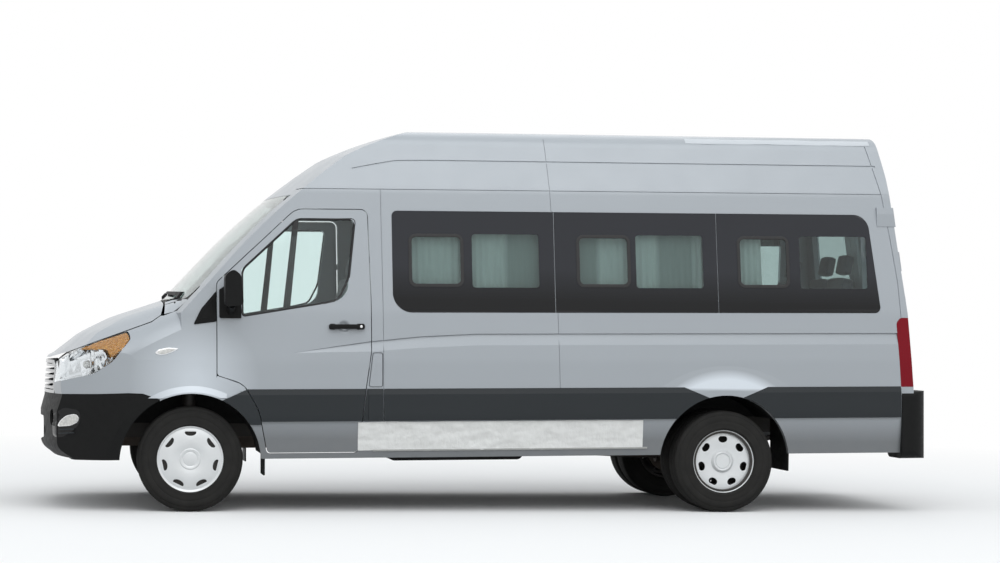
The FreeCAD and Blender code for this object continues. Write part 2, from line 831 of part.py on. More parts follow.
def make_windshield():
    keep("windshield", biggest(skin(0, GLASS, windshield_region())))


HINGE_OUT = 12.0
HOOD_HINGE = Vector(FA - 163, 0, 1416)
FLAP_HINGE = Vector(FA + 1240, -BODY_HALF - 2, 945)
FRONT_HINGE_X = FA + 165.0
FRONT_HINGE_LOW = Vector(FRONT_HINGE_X, -BODY_HALF - HINGE_OUT, 915)
FRONT_HINGE_HIGH = Vector(FRONT_HINGE_X, -BODY_HALF - HINGE_OUT + 43, 1515)
FLANGE = 14.0
FLANGE_STEP = 26.0


def make_front_doors():
    """Door with an outer skin over a smaller inner box."""
    outer = skin(0, FLANGE, left(DOOR, 500))
    inner_region = left(grown(DOOR, -FLANGE_STEP), 500)
    inner = skin(FLANGE, WALL, inner_region)
    door = pressed(outer.fuse(inner).cut(left(DOOR_WINDOW, 500)))
    keep("front_door_left", door)
    keep("front_door_right", mirror(door))
    pane = skin(DOOR_GLASS_INSET, DOOR_GLASS_INSET + GLASS, left(grown(DOOR_WINDOW, -0.4), 500))
    keep("door_glass_left", pane)
    keep("door_glass_right", mirror(pane))


MIRROR_X = FA + 255.0
MIRROR_Z = 1460.0


def make_mirrors():
    """Mirror head on its arm and the base in the window's front corner."""
    base_rows = [(FA + 180, 1284, 12), (FA + 322, 1284, 4), (FA + 322, 1560, 8), (FA + 180, 1470, 12)]
    base_region = left(base_rows, 200)
    base = skin(-TRIM_PROUD, 0, base_region)
    head_rows = [(MIRROR_X - 52, MIRROR_Z - 105, 30), (MIRROR_X + 68, MIRROR_Z - 92, 30),
                 (MIRROR_X + 50, MIRROR_Z + 100, 40), (MIRROR_X + 2, MIRROR_Z + 138, 30),
                 (MIRROR_X - 50, MIRROR_Z + 98, 40)]
    head = side_prism(head_rows, -BODY_HALF - 215, -BODY_HALF - 70)
    arm = rod(Vector(MIRROR_X, -BODY_HALF - 100, MIRROR_Z - 90),
              Vector(MIRROR_X, -BODY_HALF + 12, MIRROR_Z - 130), 24)
    mirror_left = head.fuse(arm.cut(hull_at(0))).fuse(base)
    keep("mirror_left", mirror_left)
    keep("mirror_right", mirror(mirror_left))


# Dark band in front view: y, z
TRIM_SECTION = [
    (-BODY_HALF - 20, TRIM_LOW - 20),
    (-BODY_HALF - 20, TRIM_TOP - 68),
    (-BODY_HALF - 0.5, TRIM_TOP + 2),
    (-BODY_HALF + 100, TRIM_TOP + 2),
    (-BODY_HALF + 100, TRIM_LOW - 20),
]

# Dark corner of the fender between the front arch and the door: x, z
FENDER_CORNER = [
    (FA + 200, 751),
    (FA + 360, TRIM_TOP),
    (FA + 520, TRIM_TOP),
    (FA + 520, 560),
    (FA + 200, 560),
]


def trim_rows(front, rear, top=()):
    return flat([(front, TRIM_LOW), (rear, TRIM_LOW), (rear, TRIM_TOP)] + list(top) + [(front, TRIM_TOP)])


def trim_band(region):
    """Part of the dark band with its sloping upper face."""
    return skin(-TRIM_PROUD, 0, region.common(front_prism(flat(TRIM_SECTION), NOSE, TAIL)))


def make_trim():
    """Dark band along the sides, in one piece per panel."""
    drop = [(RA + x, z) for x, z in TRIM_DROP] + [(RA - x, z) for x, z in TRIM_DROP[-2::-1]]
    panel = trim_band(left(trim_rows(BEHIND_FRONT_DOOR + 3, RA + 1232, drop)).cut(rear_arch()))
    pillar = trim_band(left(trim_rows(FA + 1150, BEHIND_FRONT_DOOR - 3)).cut(left(grown(DOOR, DOOR_GAP))))
    corner = trim_band(left(flat(FENDER_CORNER)).cut(front_arch()).cut(left(grown(DOOR, DOOR_GAP))))
    keep("side_trim", both_sides(Part.makeCompound([panel, pillar, corner])))
    door_band = trim_band(left(trim_rows(FA, FA + 1300)).common(left(DOOR)))
    keep("door_trim_left", door_band)
    keep("door_trim_right", mirror(door_band))


REAR_DOOR_GAP = 9.0
REAR_TOP_STEP = 10.0
REAR_HINGE_LOW = Vector(RA + 1307.5, -903.5, 1365)
REAR_HINGE_HIGH = Vector(RA + 1233.6, -871.9, 1960)
REAR_HINGE_LEVELS = (1372.0, 1676.0, 1980.0)
LEAF_HIGH = 130.0
KNUCKLE_HIGH = 44.0
BARREL_RADIUS = 10.0
LEAF_WIDE = 62.0
LEAF_PROUD = 8.0
LEAF_CLEAR = 1.5


def rear_hinge_point(z):
    way = REAR_HINGE_HIGH - REAR_HINGE_LOW
    return REAR_HINGE_LOW + way * ((z - REAR_HINGE_LOW.z) / way.z)


def hinge_leaf(z0, z1, start, end):
    """Plate on the tail from one distance to another beside the hinge line."""
    y = rear_hinge_point((z0 + z1) / 2).y
    y0, y1 = sorted((y + start, y + end))
    leaf = skin(-TRIM_PROUD, 0, box(RA + 1100, TAIL + 100, y0, y1, z0, z1))
    leaf.translate(Vector(LEAF_PROUD - TRIM_PROUD, 0, 0))
    return leaf


def body_leaves():
    """Fixed halves of the rear door's hinges."""
    pieces = []
    for z in REAR_HINGE_LEVELS:
        low, high = z - LEAF_HIGH / 2, z + LEAF_HIGH / 2
        inner = KNUCKLE_HIGH / 2 + SEAT_GAP
        pieces.append(hinge_leaf(low, high, -BARREL_RADIUS - 3, -LEAF_WIDE))
        for z0, z1 in ((low, z - inner), (z + inner, high)):
            pieces.append(hinge_leaf(z0 + LEAF_CLEAR, z1 - LEAF_CLEAR, 0, -LEAF_WIDE + 5))
            pieces.append(rod(rear_hinge_point(z0), rear_hinge_point(z1), BARREL_RADIUS))
    return pieces


def door_leaves():
    """Moving halves of the rear door's hinges."""
    pieces = []
    for z in REAR_HINGE_LEVELS:
        z0, z1 = z - KNUCKLE_HIGH / 2, z + KNUCKLE_HIGH / 2
        pieces.append(hinge_leaf(z0 + LEAF_CLEAR, z1 - LEAF_CLEAR, 0, LEAF_WIDE))
        pieces.append(rod(rear_hinge_point(z0), rear_hinge_point(z1), BARREL_RADIUS))
    return pieces


def rear_door_region(grow=0.0):
    middle = -REAR_DOOR_GAP / 2 + grow
    rows = [(-REAR_DOOR_HALF - grow + 5, REAR_DOOR_LOW - grow, 25), (middle, REAR_DOOR_LOW - grow, 0),
            (middle, REAR_DOOR_TOP + grow, 0), (-REAR_DOOR_HALF - grow + 75, REAR_DOOR_TOP + grow, 120)]
    return front_prism(rows, RA + 900, TAIL + 100)


def make_rear_doors():
    window = [(-820, 1340, 60), (-110, 1340, 60), (-110, 1960, 60), (-760, 1960, 80)]
    inner_top = box(RA + 900, TAIL + 100, -BIG, BIG, REAR_DOOR_TOP - REAR_TOP_STEP, BIG)
    door = skin(0, FLANGE, rear_door_region()).fuse(skin(FLANGE, WALL, rear_door_region().cut(inner_top)))
    door = door.cut(front_prism(window, RA + 900, TAIL + 100))
    pane = front_prism(grown(window, -0.4), RA + 1100, TAIL + 100)
    glass = skin(DOOR_GLASS_INSET, DOOR_GLASS_INSET + GLASS, pane)
    door = door.fuse(door_leaves())
    keep("rear_door_left", door)
    keep("rear_door_right", mirror(door))
    keep("rear_glass_left", glass)
    keep("rear_glass_right", mirror(glass))


def make_rear_frame():
    """Wall below the rear doors."""
    half = REAR_DOOR_HALF - FIT_GAP
    frame = skin(0, WALL, box(RA + 1000, TAIL + 100, -half, half, SILL_BOTTOM, REAR_DOOR_LOW - DOOR_GAP))
    keep("rear_sill", biggest(frame.cut(tow_access(RA + 1200, TAIL + 50))))


def tyre_solid(y, width):
    half = width / 2
    rows = [(RIM_RADIUS, y - half + 22, 0), (RIM_RADIUS + 30, y - half + 4, 20),
            (TYRE_RADIUS - 60, y - half, 60), (TYRE_RADIUS, y - half + 18, 16),
            (TYRE_RADIUS, y + half - 18, 16), (TYRE_RADIUS - 60, y + half, 60),
            (RIM_RADIUS + 30, y + half - 4, 20), (RIM_RADIUS, y + half - 22, 0)]
    face = Part.Face(wire([(r, w, c) for r, w, c in rows], "xy"))
    return face.revolve(Vector(0, 0, 0), Vector(0, 1, 0), 360)


def rim_solid(y, width, disc_y):
    """Rim with a disc at a given offset, turned about the wheel axis."""
    half = width / 2
    rows = [(RIM_RADIUS - 0.3, y - half, 0), (RIM_RADIUS - 0.3, y + half, 0), (RIM_RADIUS - 14, y + half, 0),
            (RIM_RADIUS - 24, disc_y + 14, 0), (70, disc_y + 14, 0), (70, disc_y + 30, 0),
            (38, disc_y + 30, 0), (38, disc_y, 0), (70, disc_y, 0), (RIM_RADIUS - 24, disc_y, 0),
            (RIM_RADIUS - 14, y - half, 0)]
    face = Part.Face(wire(rows, "xy"))
    rim = face.revolve(Vector(0, 0, 0), Vector(0, 1, 0), 360)
    for i in range(7):
        angle = 2 * math.pi * i / 7
        hole = across(140 * math.cos(angle), 140 * math.sin(angle), 22, disc_y - 60, disc_y + 60)
        rim = rim.cut(hole)
    return rim


def make_wheels():
    front_y = -FRONT_TRACK / 2
    at_front = Vector(FA, 0, HUB_Z)
    at_rear = Vector(RA, 0, HUB_Z)
    tyre = tyre_solid(front_y, TYRE_WIDTH)
    rim = rim_solid(front_y, RIM_WIDTH, front_y - 62)
    outer = tyre_solid(-REAR_OUTER_Y, TYRE_WIDTH)
    inner = tyre_solid(-REAR_OUTER_Y + TWIN_SPACING, TYRE_WIDTH)
    rim_out = rim_solid(-REAR_OUTER_Y, RIM_WIDTH, -REAR_OUTER_Y + 55)
    rim_in = mirror(rim_solid(REAR_OUTER_Y - TWIN_SPACING, RIM_WIDTH, REAR_OUTER_Y - TWIN_SPACING + 55))
    joiner = Part.makeCylinder(80, TWIN_SPACING - 110 - 28,
                               Vector(0, -REAR_OUTER_Y + 69, 0), Vector(0, 1, 0))
    rims = rim_out.fuse(rim_in).fuse(joiner)
    sets = [
        ("front_tyre", tyre, at_front),
        ("front_rim", rim, at_front),
        ("rear_tyres", Part.makeCompound([outer, inner]), at_rear),
        ("rear_rims", rims, at_rear),
    ]
    for name, shape, place in sets:
        moved = shape.copy()
        moved.translate(place)
        keep(name + "_left", moved, False)
        keep(name + "_right", mirror(moved), False)


RACK_BACK = 140.0
ARM_TOP = HUB_Z - 135
STRUT_FOOT = HUB_Z + 150


def make_front_axle():
    """Knuckles, lower arms, struts, subframe and steering rack."""
    hub_face = -FRONT_TRACK / 2 - 62 + 30.3
    spindle = across(FA, HUB_Z, 36, hub_face - 45, -KINGPIN_Y - 20)
    flange = across(FA, HUB_Z, 68, hub_face, hub_face + 16)
    drum = across(FA, HUB_Z, 140, hub_face + 18, hub_face + 42)
    web = box(FA - 35, FA + 35, -KINGPIN_Y - 40, -KINGPIN_Y + 28, HUB_Z - 120, HUB_Z + 150)
    steering_arm = box(FA + 30, FA + RACK_BACK + 20, -KINGPIN_Y - 12, -KINGPIN_Y + 12,
                       HUB_Z - 20, HUB_Z + 10)
    ball = Part.makeCylinder(16, 40, Vector(FA, -KINGPIN_Y, ARM_TOP + SEAT_GAP), Vector(0, 0, 1))
    boss = box(FA - 35, FA + 35, -KINGPIN_Y - 40, -KINGPIN_Y + 28, ARM_TOP + 15, HUB_Z - 100)
    knuckle = spindle.fuse([flange, drum, web, steering_arm, ball, boss])
    keep("knuckle_left", knuckle, False)
    keep("knuckle_right", mirror(knuckle), False)
    arm_rows = [(FA - 190, -330, 20), (FA - 30, -KINGPIN_Y - 10, 30), (FA + 30, -KINGPIN_Y - 10, 30),
                (FA + 190, -330, 20)]
    arm = top_prism(arm_rows, ARM_TOP - 30, ARM_TOP)
    beam = box(FA - 90, FA + 120, -340, 340, HUB_Z - 190, HUB_Z - 90)
    housing = across(FA + RACK_BACK, HUB_Z - 5, 32, -300, 300)
    housing = housing.cut(across(FA + RACK_BACK, HUB_Z - 5, 15.3, -BIG, BIG))
    brackets = [box(FA + 60, FA + RACK_BACK, y - 15, y + 15, HUB_Z - 100, HUB_Z - 20) for y in (-200, 200)]
    brackets = [b.cut(across(FA + RACK_BACK, HUB_Z - 5, 20, -BIG, BIG)) for b in brackets]
    post_top = raked_height(FA - 60, RAIL_LOW) - FIT_GAP
    post = box(FA - 60, FA + 60, -RAIL_Y - 38, -RAIL_Y + 38, HUB_Z - 150, post_top)
    tie = box(FA - 60, FA + 60, -RAIL_Y - 38, -330, HUB_Z - 150, HUB_Z - 100)
    beam = beam.fuse([arm, mirror(arm), housing, post, mirror(post), tie, mirror(tie)] + brackets)
    keep("front_subframe", beam, False)
    rods = across(FA + RACK_BACK, HUB_Z - 5, 15, -KINGPIN_Y + 24, KINGPIN_Y - 24)
    keep("tie_rods", rods, False)


def make_struts():
    foot = Part.makeCylinder(24, 60, Vector(FA, -KINGPIN_Y, STRUT_FOOT + SEAT_GAP), Vector(0, 0, 1))
    strut = foot.fuse(rod(Vector(FA, -KINGPIN_Y, STRUT_FOOT + 40),
                          Vector(FA, -KINGPIN_Y + 15, HUB_Z + 560), 26))
    coil = rod(Vector(FA, -KINGPIN_Y + 8, HUB_Z + 300), Vector(FA, -KINGPIN_Y + 15, HUB_Z + 540), 44)
    under_liner = raked(across(FA, HUB_Z, ARCH_RADIUS + 2 - FIT_GAP, -BIG, 0))
    keep("struts", both_sides(strut.fuse(coil).common(under_liner)), False)


def shaft_front():
    """Place where the propeller shaft meets the leaning gearbox."""
    lean = math.radians(RAKE)
    down = GEARBOX_Z - RAKE_PIVOT_Z
    x = (FA + GEARBOX_BACK) * math.cos(lean) - down * math.sin(lean)
    return Vector(x + SHAFT_CLEAR, 0, raked_height(FA + GEARBOX_BACK, GEARBOX_Z))


def make_rear_axle():
    hub_face = REAR_OUTER_Y - TWIN_SPACING + 55
    tube = across(RA, HUB_Z, 45, -hub_face + SEAT_GAP, hub_face - SEAT_GAP)
    stub = across(RA, HUB_Z, HUB_BORE - SEAT_GAP, -hub_face - 13.7, hub_face + 13.7)
    casing = Part.makeSphere(150, Vector(RA, 0, HUB_Z)).fuse(
        rod(Vector(RA - 230, 0, HUB_Z + 8), Vector(RA, 0, HUB_Z), 62))
    drum = across(RA, HUB_Z, 150, -REAR_OUTER_Y + TWIN_SPACING + 40, -REAR_OUTER_Y + TWIN_SPACING + 110)
    shaft = rod(Vector(RA - 225, 0, HUB_Z + 8), shaft_front(), 38)
    pad = box(RA - 60, RA + 60, -RAIL_Y - 38, -RAIL_Y + 38, HUB_Z + 20, HUB_Z + 51)
    axle = tube.fuse([stub, casing, drum, mirror(drum), shaft, pad, mirror(pad)])
    keep("rear_axle", axle, False)
    front_eye = raked_height(RA - LEAF_HALF, RAIL_LOW) - FIT_GAP
    rear_eye = raked_height(RA + LEAF_HALF, RAIL_LOW) - FIT_GAP
    leaf_rows = [(RA - LEAF_HALF, front_eye - 22, 4), (RA, HUB_Z + 45, 900),
                 (RA + LEAF_HALF, rear_eye - 22, 4),
                 (RA + LEAF_HALF, rear_eye, 4), (RA, HUB_Z + 95, 900), (RA - LEAF_HALF, front_eye, 4)]
    leaf = side_prism(leaf_rows, -RAIL_Y - 35, -RAIL_Y + 35)
    leaf = leaf.fuse(box(RA - 60, RA + 60, -RAIL_Y - 38, -RAIL_Y + 38, HUB_Z + 51 + SEAT_GAP, HUB_Z + 90))
    keep("leaf_springs", both_sides(leaf), False)


def make_chassis():
    """Two long rails with jacking pads, and a towing-eye thread in each end of the left one."""
    y0, y1 = -RAIL_Y - RAIL_WIDE / 2, -RAIL_Y + RAIL_WIDE / 2
    rail = box(RAIL_FRONT, RAIL_REAR, y0, y1, RAIL_LOW, RAIL_LOW + RAIL_HIGH)
    pad_low = RAIL_LOW - JACK_PAD_DEEP
    rail = rail.fuse([box(x, x + JACK_PAD_LONG, y0, y1, pad_low, RAIL_LOW + 1) for x in JACK_PADS])
    threads = [Part.makeCylinder(TOW_THREAD_RADIUS, TOW_THREAD_DEEP,
                                 Vector(x, -RAIL_Y, TOW_Z), Vector(way, 0, 0))
               for x, way in ((RAIL_FRONT, 1), (RAIL_REAR, -1))]
    keep("chassis_rails", Part.makeCompound([rail.cut(threads), mirror(rail)]))


def make_floor():
    low = FLOOR_TOP - FLOOR_THICK + SEAT_GAP
    pan = box(BEHIND_FRONT_DOOR - 60, RA + 1300, -BIG, BIG, low, FLOOR_TOP).common(hull_at(WALL))
    pan = pan.fuse(box(FA + 60, BEHIND_FRONT_DOOR, -FLOOR_HALF, FLOOR_HALF, low, FLOOR_TOP))
    house_inner = -REAR_OUTER_Y + TWIN_SPACING + 160
    for sign in (-1, 1):
        y0, y1 = sorted((sign * (BODY_HALF + 50), sign * -house_inner))
        pan = pan.cut(across(RA, HUB_Z - 25, REAR_ARCH_RADIUS + 18 + FIT_GAP, y0, y1))
        y2, y3 = sorted((sign * (BODY_HALF + 50), sign * 520))
        pan = pan.cut(across(FA, HUB_Z, ARCH_RADIUS + 12 + FIT_GAP, y2, y3))
    bulkhead = box(FA - 110, FA - 70, -880, 880, FLOOR_TOP - 150, 1340)
    toe = side_prism([(FA - 110, 870, 0), (FA + 110, FLOOR_TOP - 30, 0), (FA + 175, FLOOR_TOP - 1, 0),
                      (FA - 70, 925, 0)], -515, 515)
    engine_room = box(FA - 200, FA, -515, 515, 0, 875)
    bulkhead = bulkhead.common(hull_at(WALL)).cut(front_arch(12 + FIT_GAP)).cut(engine_room)
    keep("floor", biggest(pan.fuse([biggest(bulkhead), toe])))


def make_wheel_houses():
    inner = -REAR_OUTER_Y + TWIN_SPACING + 160
    shell = across(RA, HUB_Z - 25, REAR_ARCH_RADIUS + 18, -BODY_HALF, inner).common(hull_at(WALL))
    shell = shell.cut(across(RA, HUB_Z - 25, REAR_ARCH_RADIUS + 2, -BIG, inner - 16))
    shell = shell.common(box(RA - 600, RA + 600, -BIG, 0, FLOOR_TOP - FLOOR_THICK, BIG))
    liner = across(FA, HUB_Z, ARCH_RADIUS + 12, -BODY_HALF, -520).common(hull_at(WALL))
    liner = liner.cut(across(FA, HUB_Z, ARCH_RADIUS + 2, -BIG, BIG))
    liner = liner.common(box(FA - 480, FA + 480, -BIG, 0, HUB_Z + 60, BIG))
    keep("wheel_houses", both_sides(Part.makeCompound([shell, liner])))


WHEEL_AT = Vector(FA + 420, -400, 1250)
WHEEL_TILT = Vector(0.5, 0, 0.866)


def make_cabin_pieces():
    dash = side_prism([(FA - 69.7, 930, 0), (FA + 250, 880, 60), (FA + 300, 1180, 60), (FA + 200, 1290, 80),
                       (FA + 10, 1330, 40), (FA - 69.7, 1320, 0)], -860, 860)
    wheel_at = WHEEL_AT
    tilt = WHEEL_TILT
    ring = Part.makeTorus(195, 15, wheel_at, tilt)
    hub = Part.makeCylinder(45, 40, wheel_at - tilt * 30, tilt)
    spokes = []
    for angle in (0, 120, 240):
        spoke = box(0, 190, -14, 14, -8, 4)
        spoke.rotate(Vector(0, 0, 0), Vector(0, 0, 1), angle)
        spoke.Placement = FreeCAD.Placement(wheel_at, FreeCAD.Rotation(Vector(0, 0, 1), tilt)).multiply(
            spoke.Placement)
        spokes.append(spoke)
    column = Part.makeCylinder(24, 300, wheel_at - tilt * (30 + SEAT_GAP), tilt * -1)
    wheel = ring.fuse(hub).fuse(spokes)
    keep("steering_wheel", wheel)
    keep("dashboard", dash.fuse(column))


CAB_SEAT_X = FA + 640.0
SEAT_BASE_TOP = 991.6
SEAT_ROWS = (FA + 1560, FA + 2360, FA + 3160, FA + 3960)


def seat(x, y, wide):
    """Seat cushion and backrest, as one soft form."""
    cushion = side_prism([(x, 1010, 50), (x + 440, 990, 40), (x + 440, 1120, 50), (x, 1130, 50)],
                         y - wide / 2, y + wide / 2)
    back = side_prism([(x + 400, 1080, 40), (x + 510, 1080, 40), (x + 640, 1740, 35), (x + 550, 1760, 35)],
                      y - wide / 2, y + wide / 2)
    return cushion.fuse(back)


def seat_base(x, y0, y1):
    return box(x + 40, x + 395, y0, y1, FLOOR_TOP + SEAT_GAP, SEAT_BASE_TOP)


def make_seats():
    keep("cab_seats", Part.makeCompound([seat(CAB_SEAT_X, -400, 480), seat(CAB_SEAT_X, 300, 800)]))
    bases = [seat_base(CAB_SEAT_X, -580, -220), seat_base(CAB_SEAT_X, 0, 600)]
    rows = []
    for x in SEAT_ROWS:
        rows.append(seat(x, -425, 780))
        rows.append(seat(x, 560, 420))
        bases.append(seat_base(x, -470, -120))
        bases.append(seat_base(x, 380, 480))
    keep("passenger_seats", Part.makeCompound(rows))
    keep("seat_bases", Part.makeCompound(bases))


def make_engine():
    block = box(FA - 620, FA - 150, -300, 300, 430, 1040)
    gearbox = box(FA - 151, FA + GEARBOX_BACK, -140, 140, 400, 590)
    reach = RAIL_Y - RAIL_WIDE / 2 - SEAT_GAP
    arms = box(FA - 420, FA - 340, -reach, reach, 520, 580)
    keep("engine", block.fuse([gearbox, arms]))


def make_underside():
    """Fuel tank, exhaust and mud flaps, each hung from the floor."""
    ceiling = FLOOR_TOP - FLOOR_THICK
    rows = [(FA + 1300, 345, 40), (FA + 2200, 345, 40), (FA + 2200, 500, 20), (FA + 1300, 500, 20)]
    tank = side_prism(rows,
                      -900, -520)
    straps = [box(x, x + 60, -900, -520, 499, ceiling) for x in (FA + 1400, FA + 2000)]
    keep("fuel_tank", tank.fuse(straps))
    pipe = rod(Vector(FA + 760, 250, 430), Vector(RA - 500, 250, 430), 28)
    silencer = rod(Vector(FA + 1500, 250, 430), Vector(FA + 2100, 250, 430), 85)
    hangers = [box(x, x + 30, 235, 265, 430, ceiling) for x in (FA + 900, RA - 700)]
    keep("exhaust", pipe.fuse([silencer] + hangers))
    flap_front = box(FA + 470, FA + 480, -BODY_HALF, -BODY_HALF + 320, 260, ceiling)
    flap_rear = box(RA + 452, RA + 462, -BODY_HALF, -BODY_HALF + 480, 250, ceiling)
    flaps = Part.makeCompound([flap_front, flap_rear]).common(hull_at(WALL))
    keep("mud_flaps", both_sides(flaps))


WINDOW_LEAN = 107.0
CURTAIN_LOW = 1360.0
CURTAIN_TOP = 1930.0


def make_curtains():
    slope = math.degrees(math.atan2(WINDOW_LEAN, GUTTER_Z - WINDOW_LOW))
    rise = CURTAIN_LOW - WINDOW_LOW
    wall = WALL / math.cos(math.radians(slope))
    y = -BODY_HALF + 18 + WINDOW_LEAN * rise / (GUTTER_Z - WINDOW_LOW) + wall + 0.5
    solids = []
    for a, b in ((BAND_FRONT + 60, BAND_SPLITS[0] - 20),
                 (BAND_SPLITS[0] + 20, BAND_SPLITS[1] - 20),
                 (BAND_SPLITS[1] + 20, BAND_REAR - 90)):
        solids.append(box(a, b, y, y + 22, CURTAIN_LOW, CURTAIN_TOP))
    panels = Part.makeCompound(solids)
    panels.rotate(Vector(0, y, CURTAIN_LOW), Vector(1, 0, 0), -slope)
    keep("curtains", both_sides(panels))


def raked_height(x, z):
    """Height of a point of the sprung body once the body has leaned."""
    lean = math.radians(RAKE)
    return RAKE_PIVOT_Z + (z - RAKE_PIVOT_Z) * math.cos(lean) + x * math.sin(lean)


def raked(shape):
    """Lean of the sprung body: the nose stands lower than the tail."""
    result = shape.copy()
    result.rotate(Vector(0, 0, RAKE_PIVOT_Z), Vector(0, 1, 0), -RAKE)
    return result


def main():
    os.makedirs("parts", exist_ok=True)
    for make in (make_body_sides, make_sliding_door, make_side_glass, make_tail_lamps, make_roof,
                 make_cab_pillars, make_fuel_flap, make_fenders, make_hood, make_cowl, make_headlamps,
                 make_grille, make_bumpers, make_windshield, make_front_doors, make_mirrors, make_trim,
                 make_rear_doors, make_rear_frame, make_wheels, make_front_axle, make_struts,
                 make_rear_axle, make_chassis, make_floor, make_wheel_houses, make_cabin_pieces,
                 make_seats, make_engine, make_underside, make_curtains):
        make()
    for name, (shape, sprung) in NODES.items():
        placed = raked(shape) if sprung else shape
        placed.exportStep("parts/" + name + ".step")


if __name__ == "__main__":
    main()
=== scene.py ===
"""Looks of a silver high-roof minibus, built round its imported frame."""

import json
import math

import bmesh
import bpy
from bpy.props import FloatProperty, FloatVectorProperty, IntProperty, PointerProperty
from mathutils import Matrix, Vector, noise

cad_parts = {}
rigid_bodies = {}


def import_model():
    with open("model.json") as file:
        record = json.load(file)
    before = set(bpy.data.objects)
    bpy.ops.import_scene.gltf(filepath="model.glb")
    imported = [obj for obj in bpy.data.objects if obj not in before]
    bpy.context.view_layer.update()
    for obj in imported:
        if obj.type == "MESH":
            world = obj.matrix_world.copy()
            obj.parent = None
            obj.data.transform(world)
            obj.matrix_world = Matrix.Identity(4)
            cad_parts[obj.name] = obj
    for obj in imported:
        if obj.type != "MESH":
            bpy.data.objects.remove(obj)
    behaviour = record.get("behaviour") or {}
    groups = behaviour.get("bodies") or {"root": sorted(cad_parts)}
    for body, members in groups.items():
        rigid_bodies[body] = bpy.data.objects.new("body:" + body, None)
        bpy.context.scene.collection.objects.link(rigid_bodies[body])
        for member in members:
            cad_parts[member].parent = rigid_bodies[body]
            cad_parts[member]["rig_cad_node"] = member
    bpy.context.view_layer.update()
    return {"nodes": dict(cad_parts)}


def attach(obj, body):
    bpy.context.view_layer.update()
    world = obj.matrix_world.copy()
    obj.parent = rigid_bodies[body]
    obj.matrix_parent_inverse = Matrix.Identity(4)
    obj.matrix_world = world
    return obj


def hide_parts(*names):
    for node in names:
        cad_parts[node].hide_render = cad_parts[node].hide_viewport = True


bl_info = {
    "name": "Minibus",
    "version": (1, 0, 0),
    "blender": (4, 5, 0),
    "location": "View3D > Sidebar > Minibus",
    "description": "Finishes, trim, seats, curtains and studio of a high-roof minibus",
    "category": "Object",
}

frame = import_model()
NODES = frame["nodes"]

# Axles and wheels, in metres
FRONT_AXLE = -2.03
REAR_AXLE = 1.54
HUB_HEIGHT = 0.342
FRONT_WHEEL_Y = 0.86
REAR_OUTER_Y = 0.89
REAR_INNER_Y = 0.654

# How the sprung body stands: its angle, nose down, and the height that it turns about
LEAN = math.radians(0.8)
LEAN_HEIGHT = 0.6

# Sides of the vehicle, and the sign of y there
SIDES = (("left", -1.0), ("right", 1.0))

# Where flat pieces are drawn beside the left side, how far they may be moved onto it, and
# how deep their backs are sunk into it
OUTSIDE = -1.3
SIDE_REACH = 0.45
SUNK = 0.0015

# Distances below which two corners are one, in a copy and in a turned piece, steps of a full
# turn, and the angle from which an edge is rounded
DOUBLES = 0.00001
TURN_DOUBLES = 0.0001
TURN_STEPS = 72
WALL_CORNER = math.radians(50)


def leaned(x, y, z):
    """Place on the sprung body, which stands slightly nose down."""
    rise = z - LEAN_HEIGHT
    return Vector((x * math.cos(LEAN) - rise * math.sin(LEAN), y,
                   LEAN_HEIGHT + rise * math.cos(LEAN) + x * math.sin(LEAN)))


# Modelling steps


def put_down():
    """Leave edit mode with nothing selected."""
    if bpy.context.mode != "OBJECT":
        bpy.ops.object.mode_set(mode="OBJECT")
    bpy.ops.object.select_all(action="DESELECT")


def take(piece):
    """Make one piece the active one, and the only one selected."""
    put_down()
    piece.select_set(True)
    bpy.context.view_layer.objects.active = piece


def evened():
    """Let the faces of the open piece point outwards, and put it down."""
    bpy.ops.mesh.select_all(action="SELECT")
    bpy.ops.mesh.normals_make_consistent(inside=False)
    put_down()


def entered(piece):
    """Open a piece with everything selected."""
    take(piece)
    bpy.ops.object.mode_set(mode="EDIT")
    bpy.ops.mesh.select_all(action="SELECT")


def named(name):
    """Name the piece that was just added."""
    piece = bpy.context.object
    piece.name = piece.data.name = name
    return piece


def opened(name):
    """Name the piece that was just added, and open it with everything selected."""
    piece = named(name)
    bpy.ops.object.mode_set(mode="EDIT")
    bpy.ops.mesh.select_mode(type="VERT")
    bpy.ops.mesh.select_all(action="SELECT")
    return piece


def pick(kind, test=lambda item: True):
    """Select the vertices or faces of the open piece that pass a test."""
    bpy.ops.mesh.select_mode(type=kind)
    bpy.ops.mesh.select_all(action="DESELECT")
    data = bpy.context.edit_object.data
    mesh = bmesh.from_edit_mesh(data)
    for item in {"VERT": mesh.verts, "FACE": mesh.faces}[kind]:
        if test(item):
            item.select_set(True)
    bmesh.update_edit_mesh(data)


def modified(piece, kind, **settings):
    """Add a modifier with these settings, and apply it."""
    take(piece)
    modifier = piece.modifiers.new(kind.title(), kind)
    for setting, value in settings.items():
        setattr(modifier, setting, value)
    bpy.ops.object.modifier_apply(modifier=modifier.name)


def settled(piece):
    """Bring the piece's object to the origin, with its place kept in its mesh."""
    take(piece)
    bpy.ops.object.transform_apply(location=True, rotation=True, scale=True)


def finished(piece, body, finish, smooth=35.0):
    """Lay a finish on a piece and let it ride on its body."""
    settled(piece)
    bpy.ops.object.shade_smooth_by_angle(angle=math.radians(smooth))
    piece.data.materials.clear()
    piece.data.materials.append(FINISHES[finish])
    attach(piece, body)
    return piece


def copied(node, name):
    """Open copy of a CAD node's mesh, as the start of a piece."""
    take(NODES[node])
    bpy.ops.object.duplicate()
    piece = opened(name)
    piece.pop("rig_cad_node", None)
    piece.parent = None
    bpy.ops.mesh.remove_doubles(threshold=DOUBLES)
    return piece


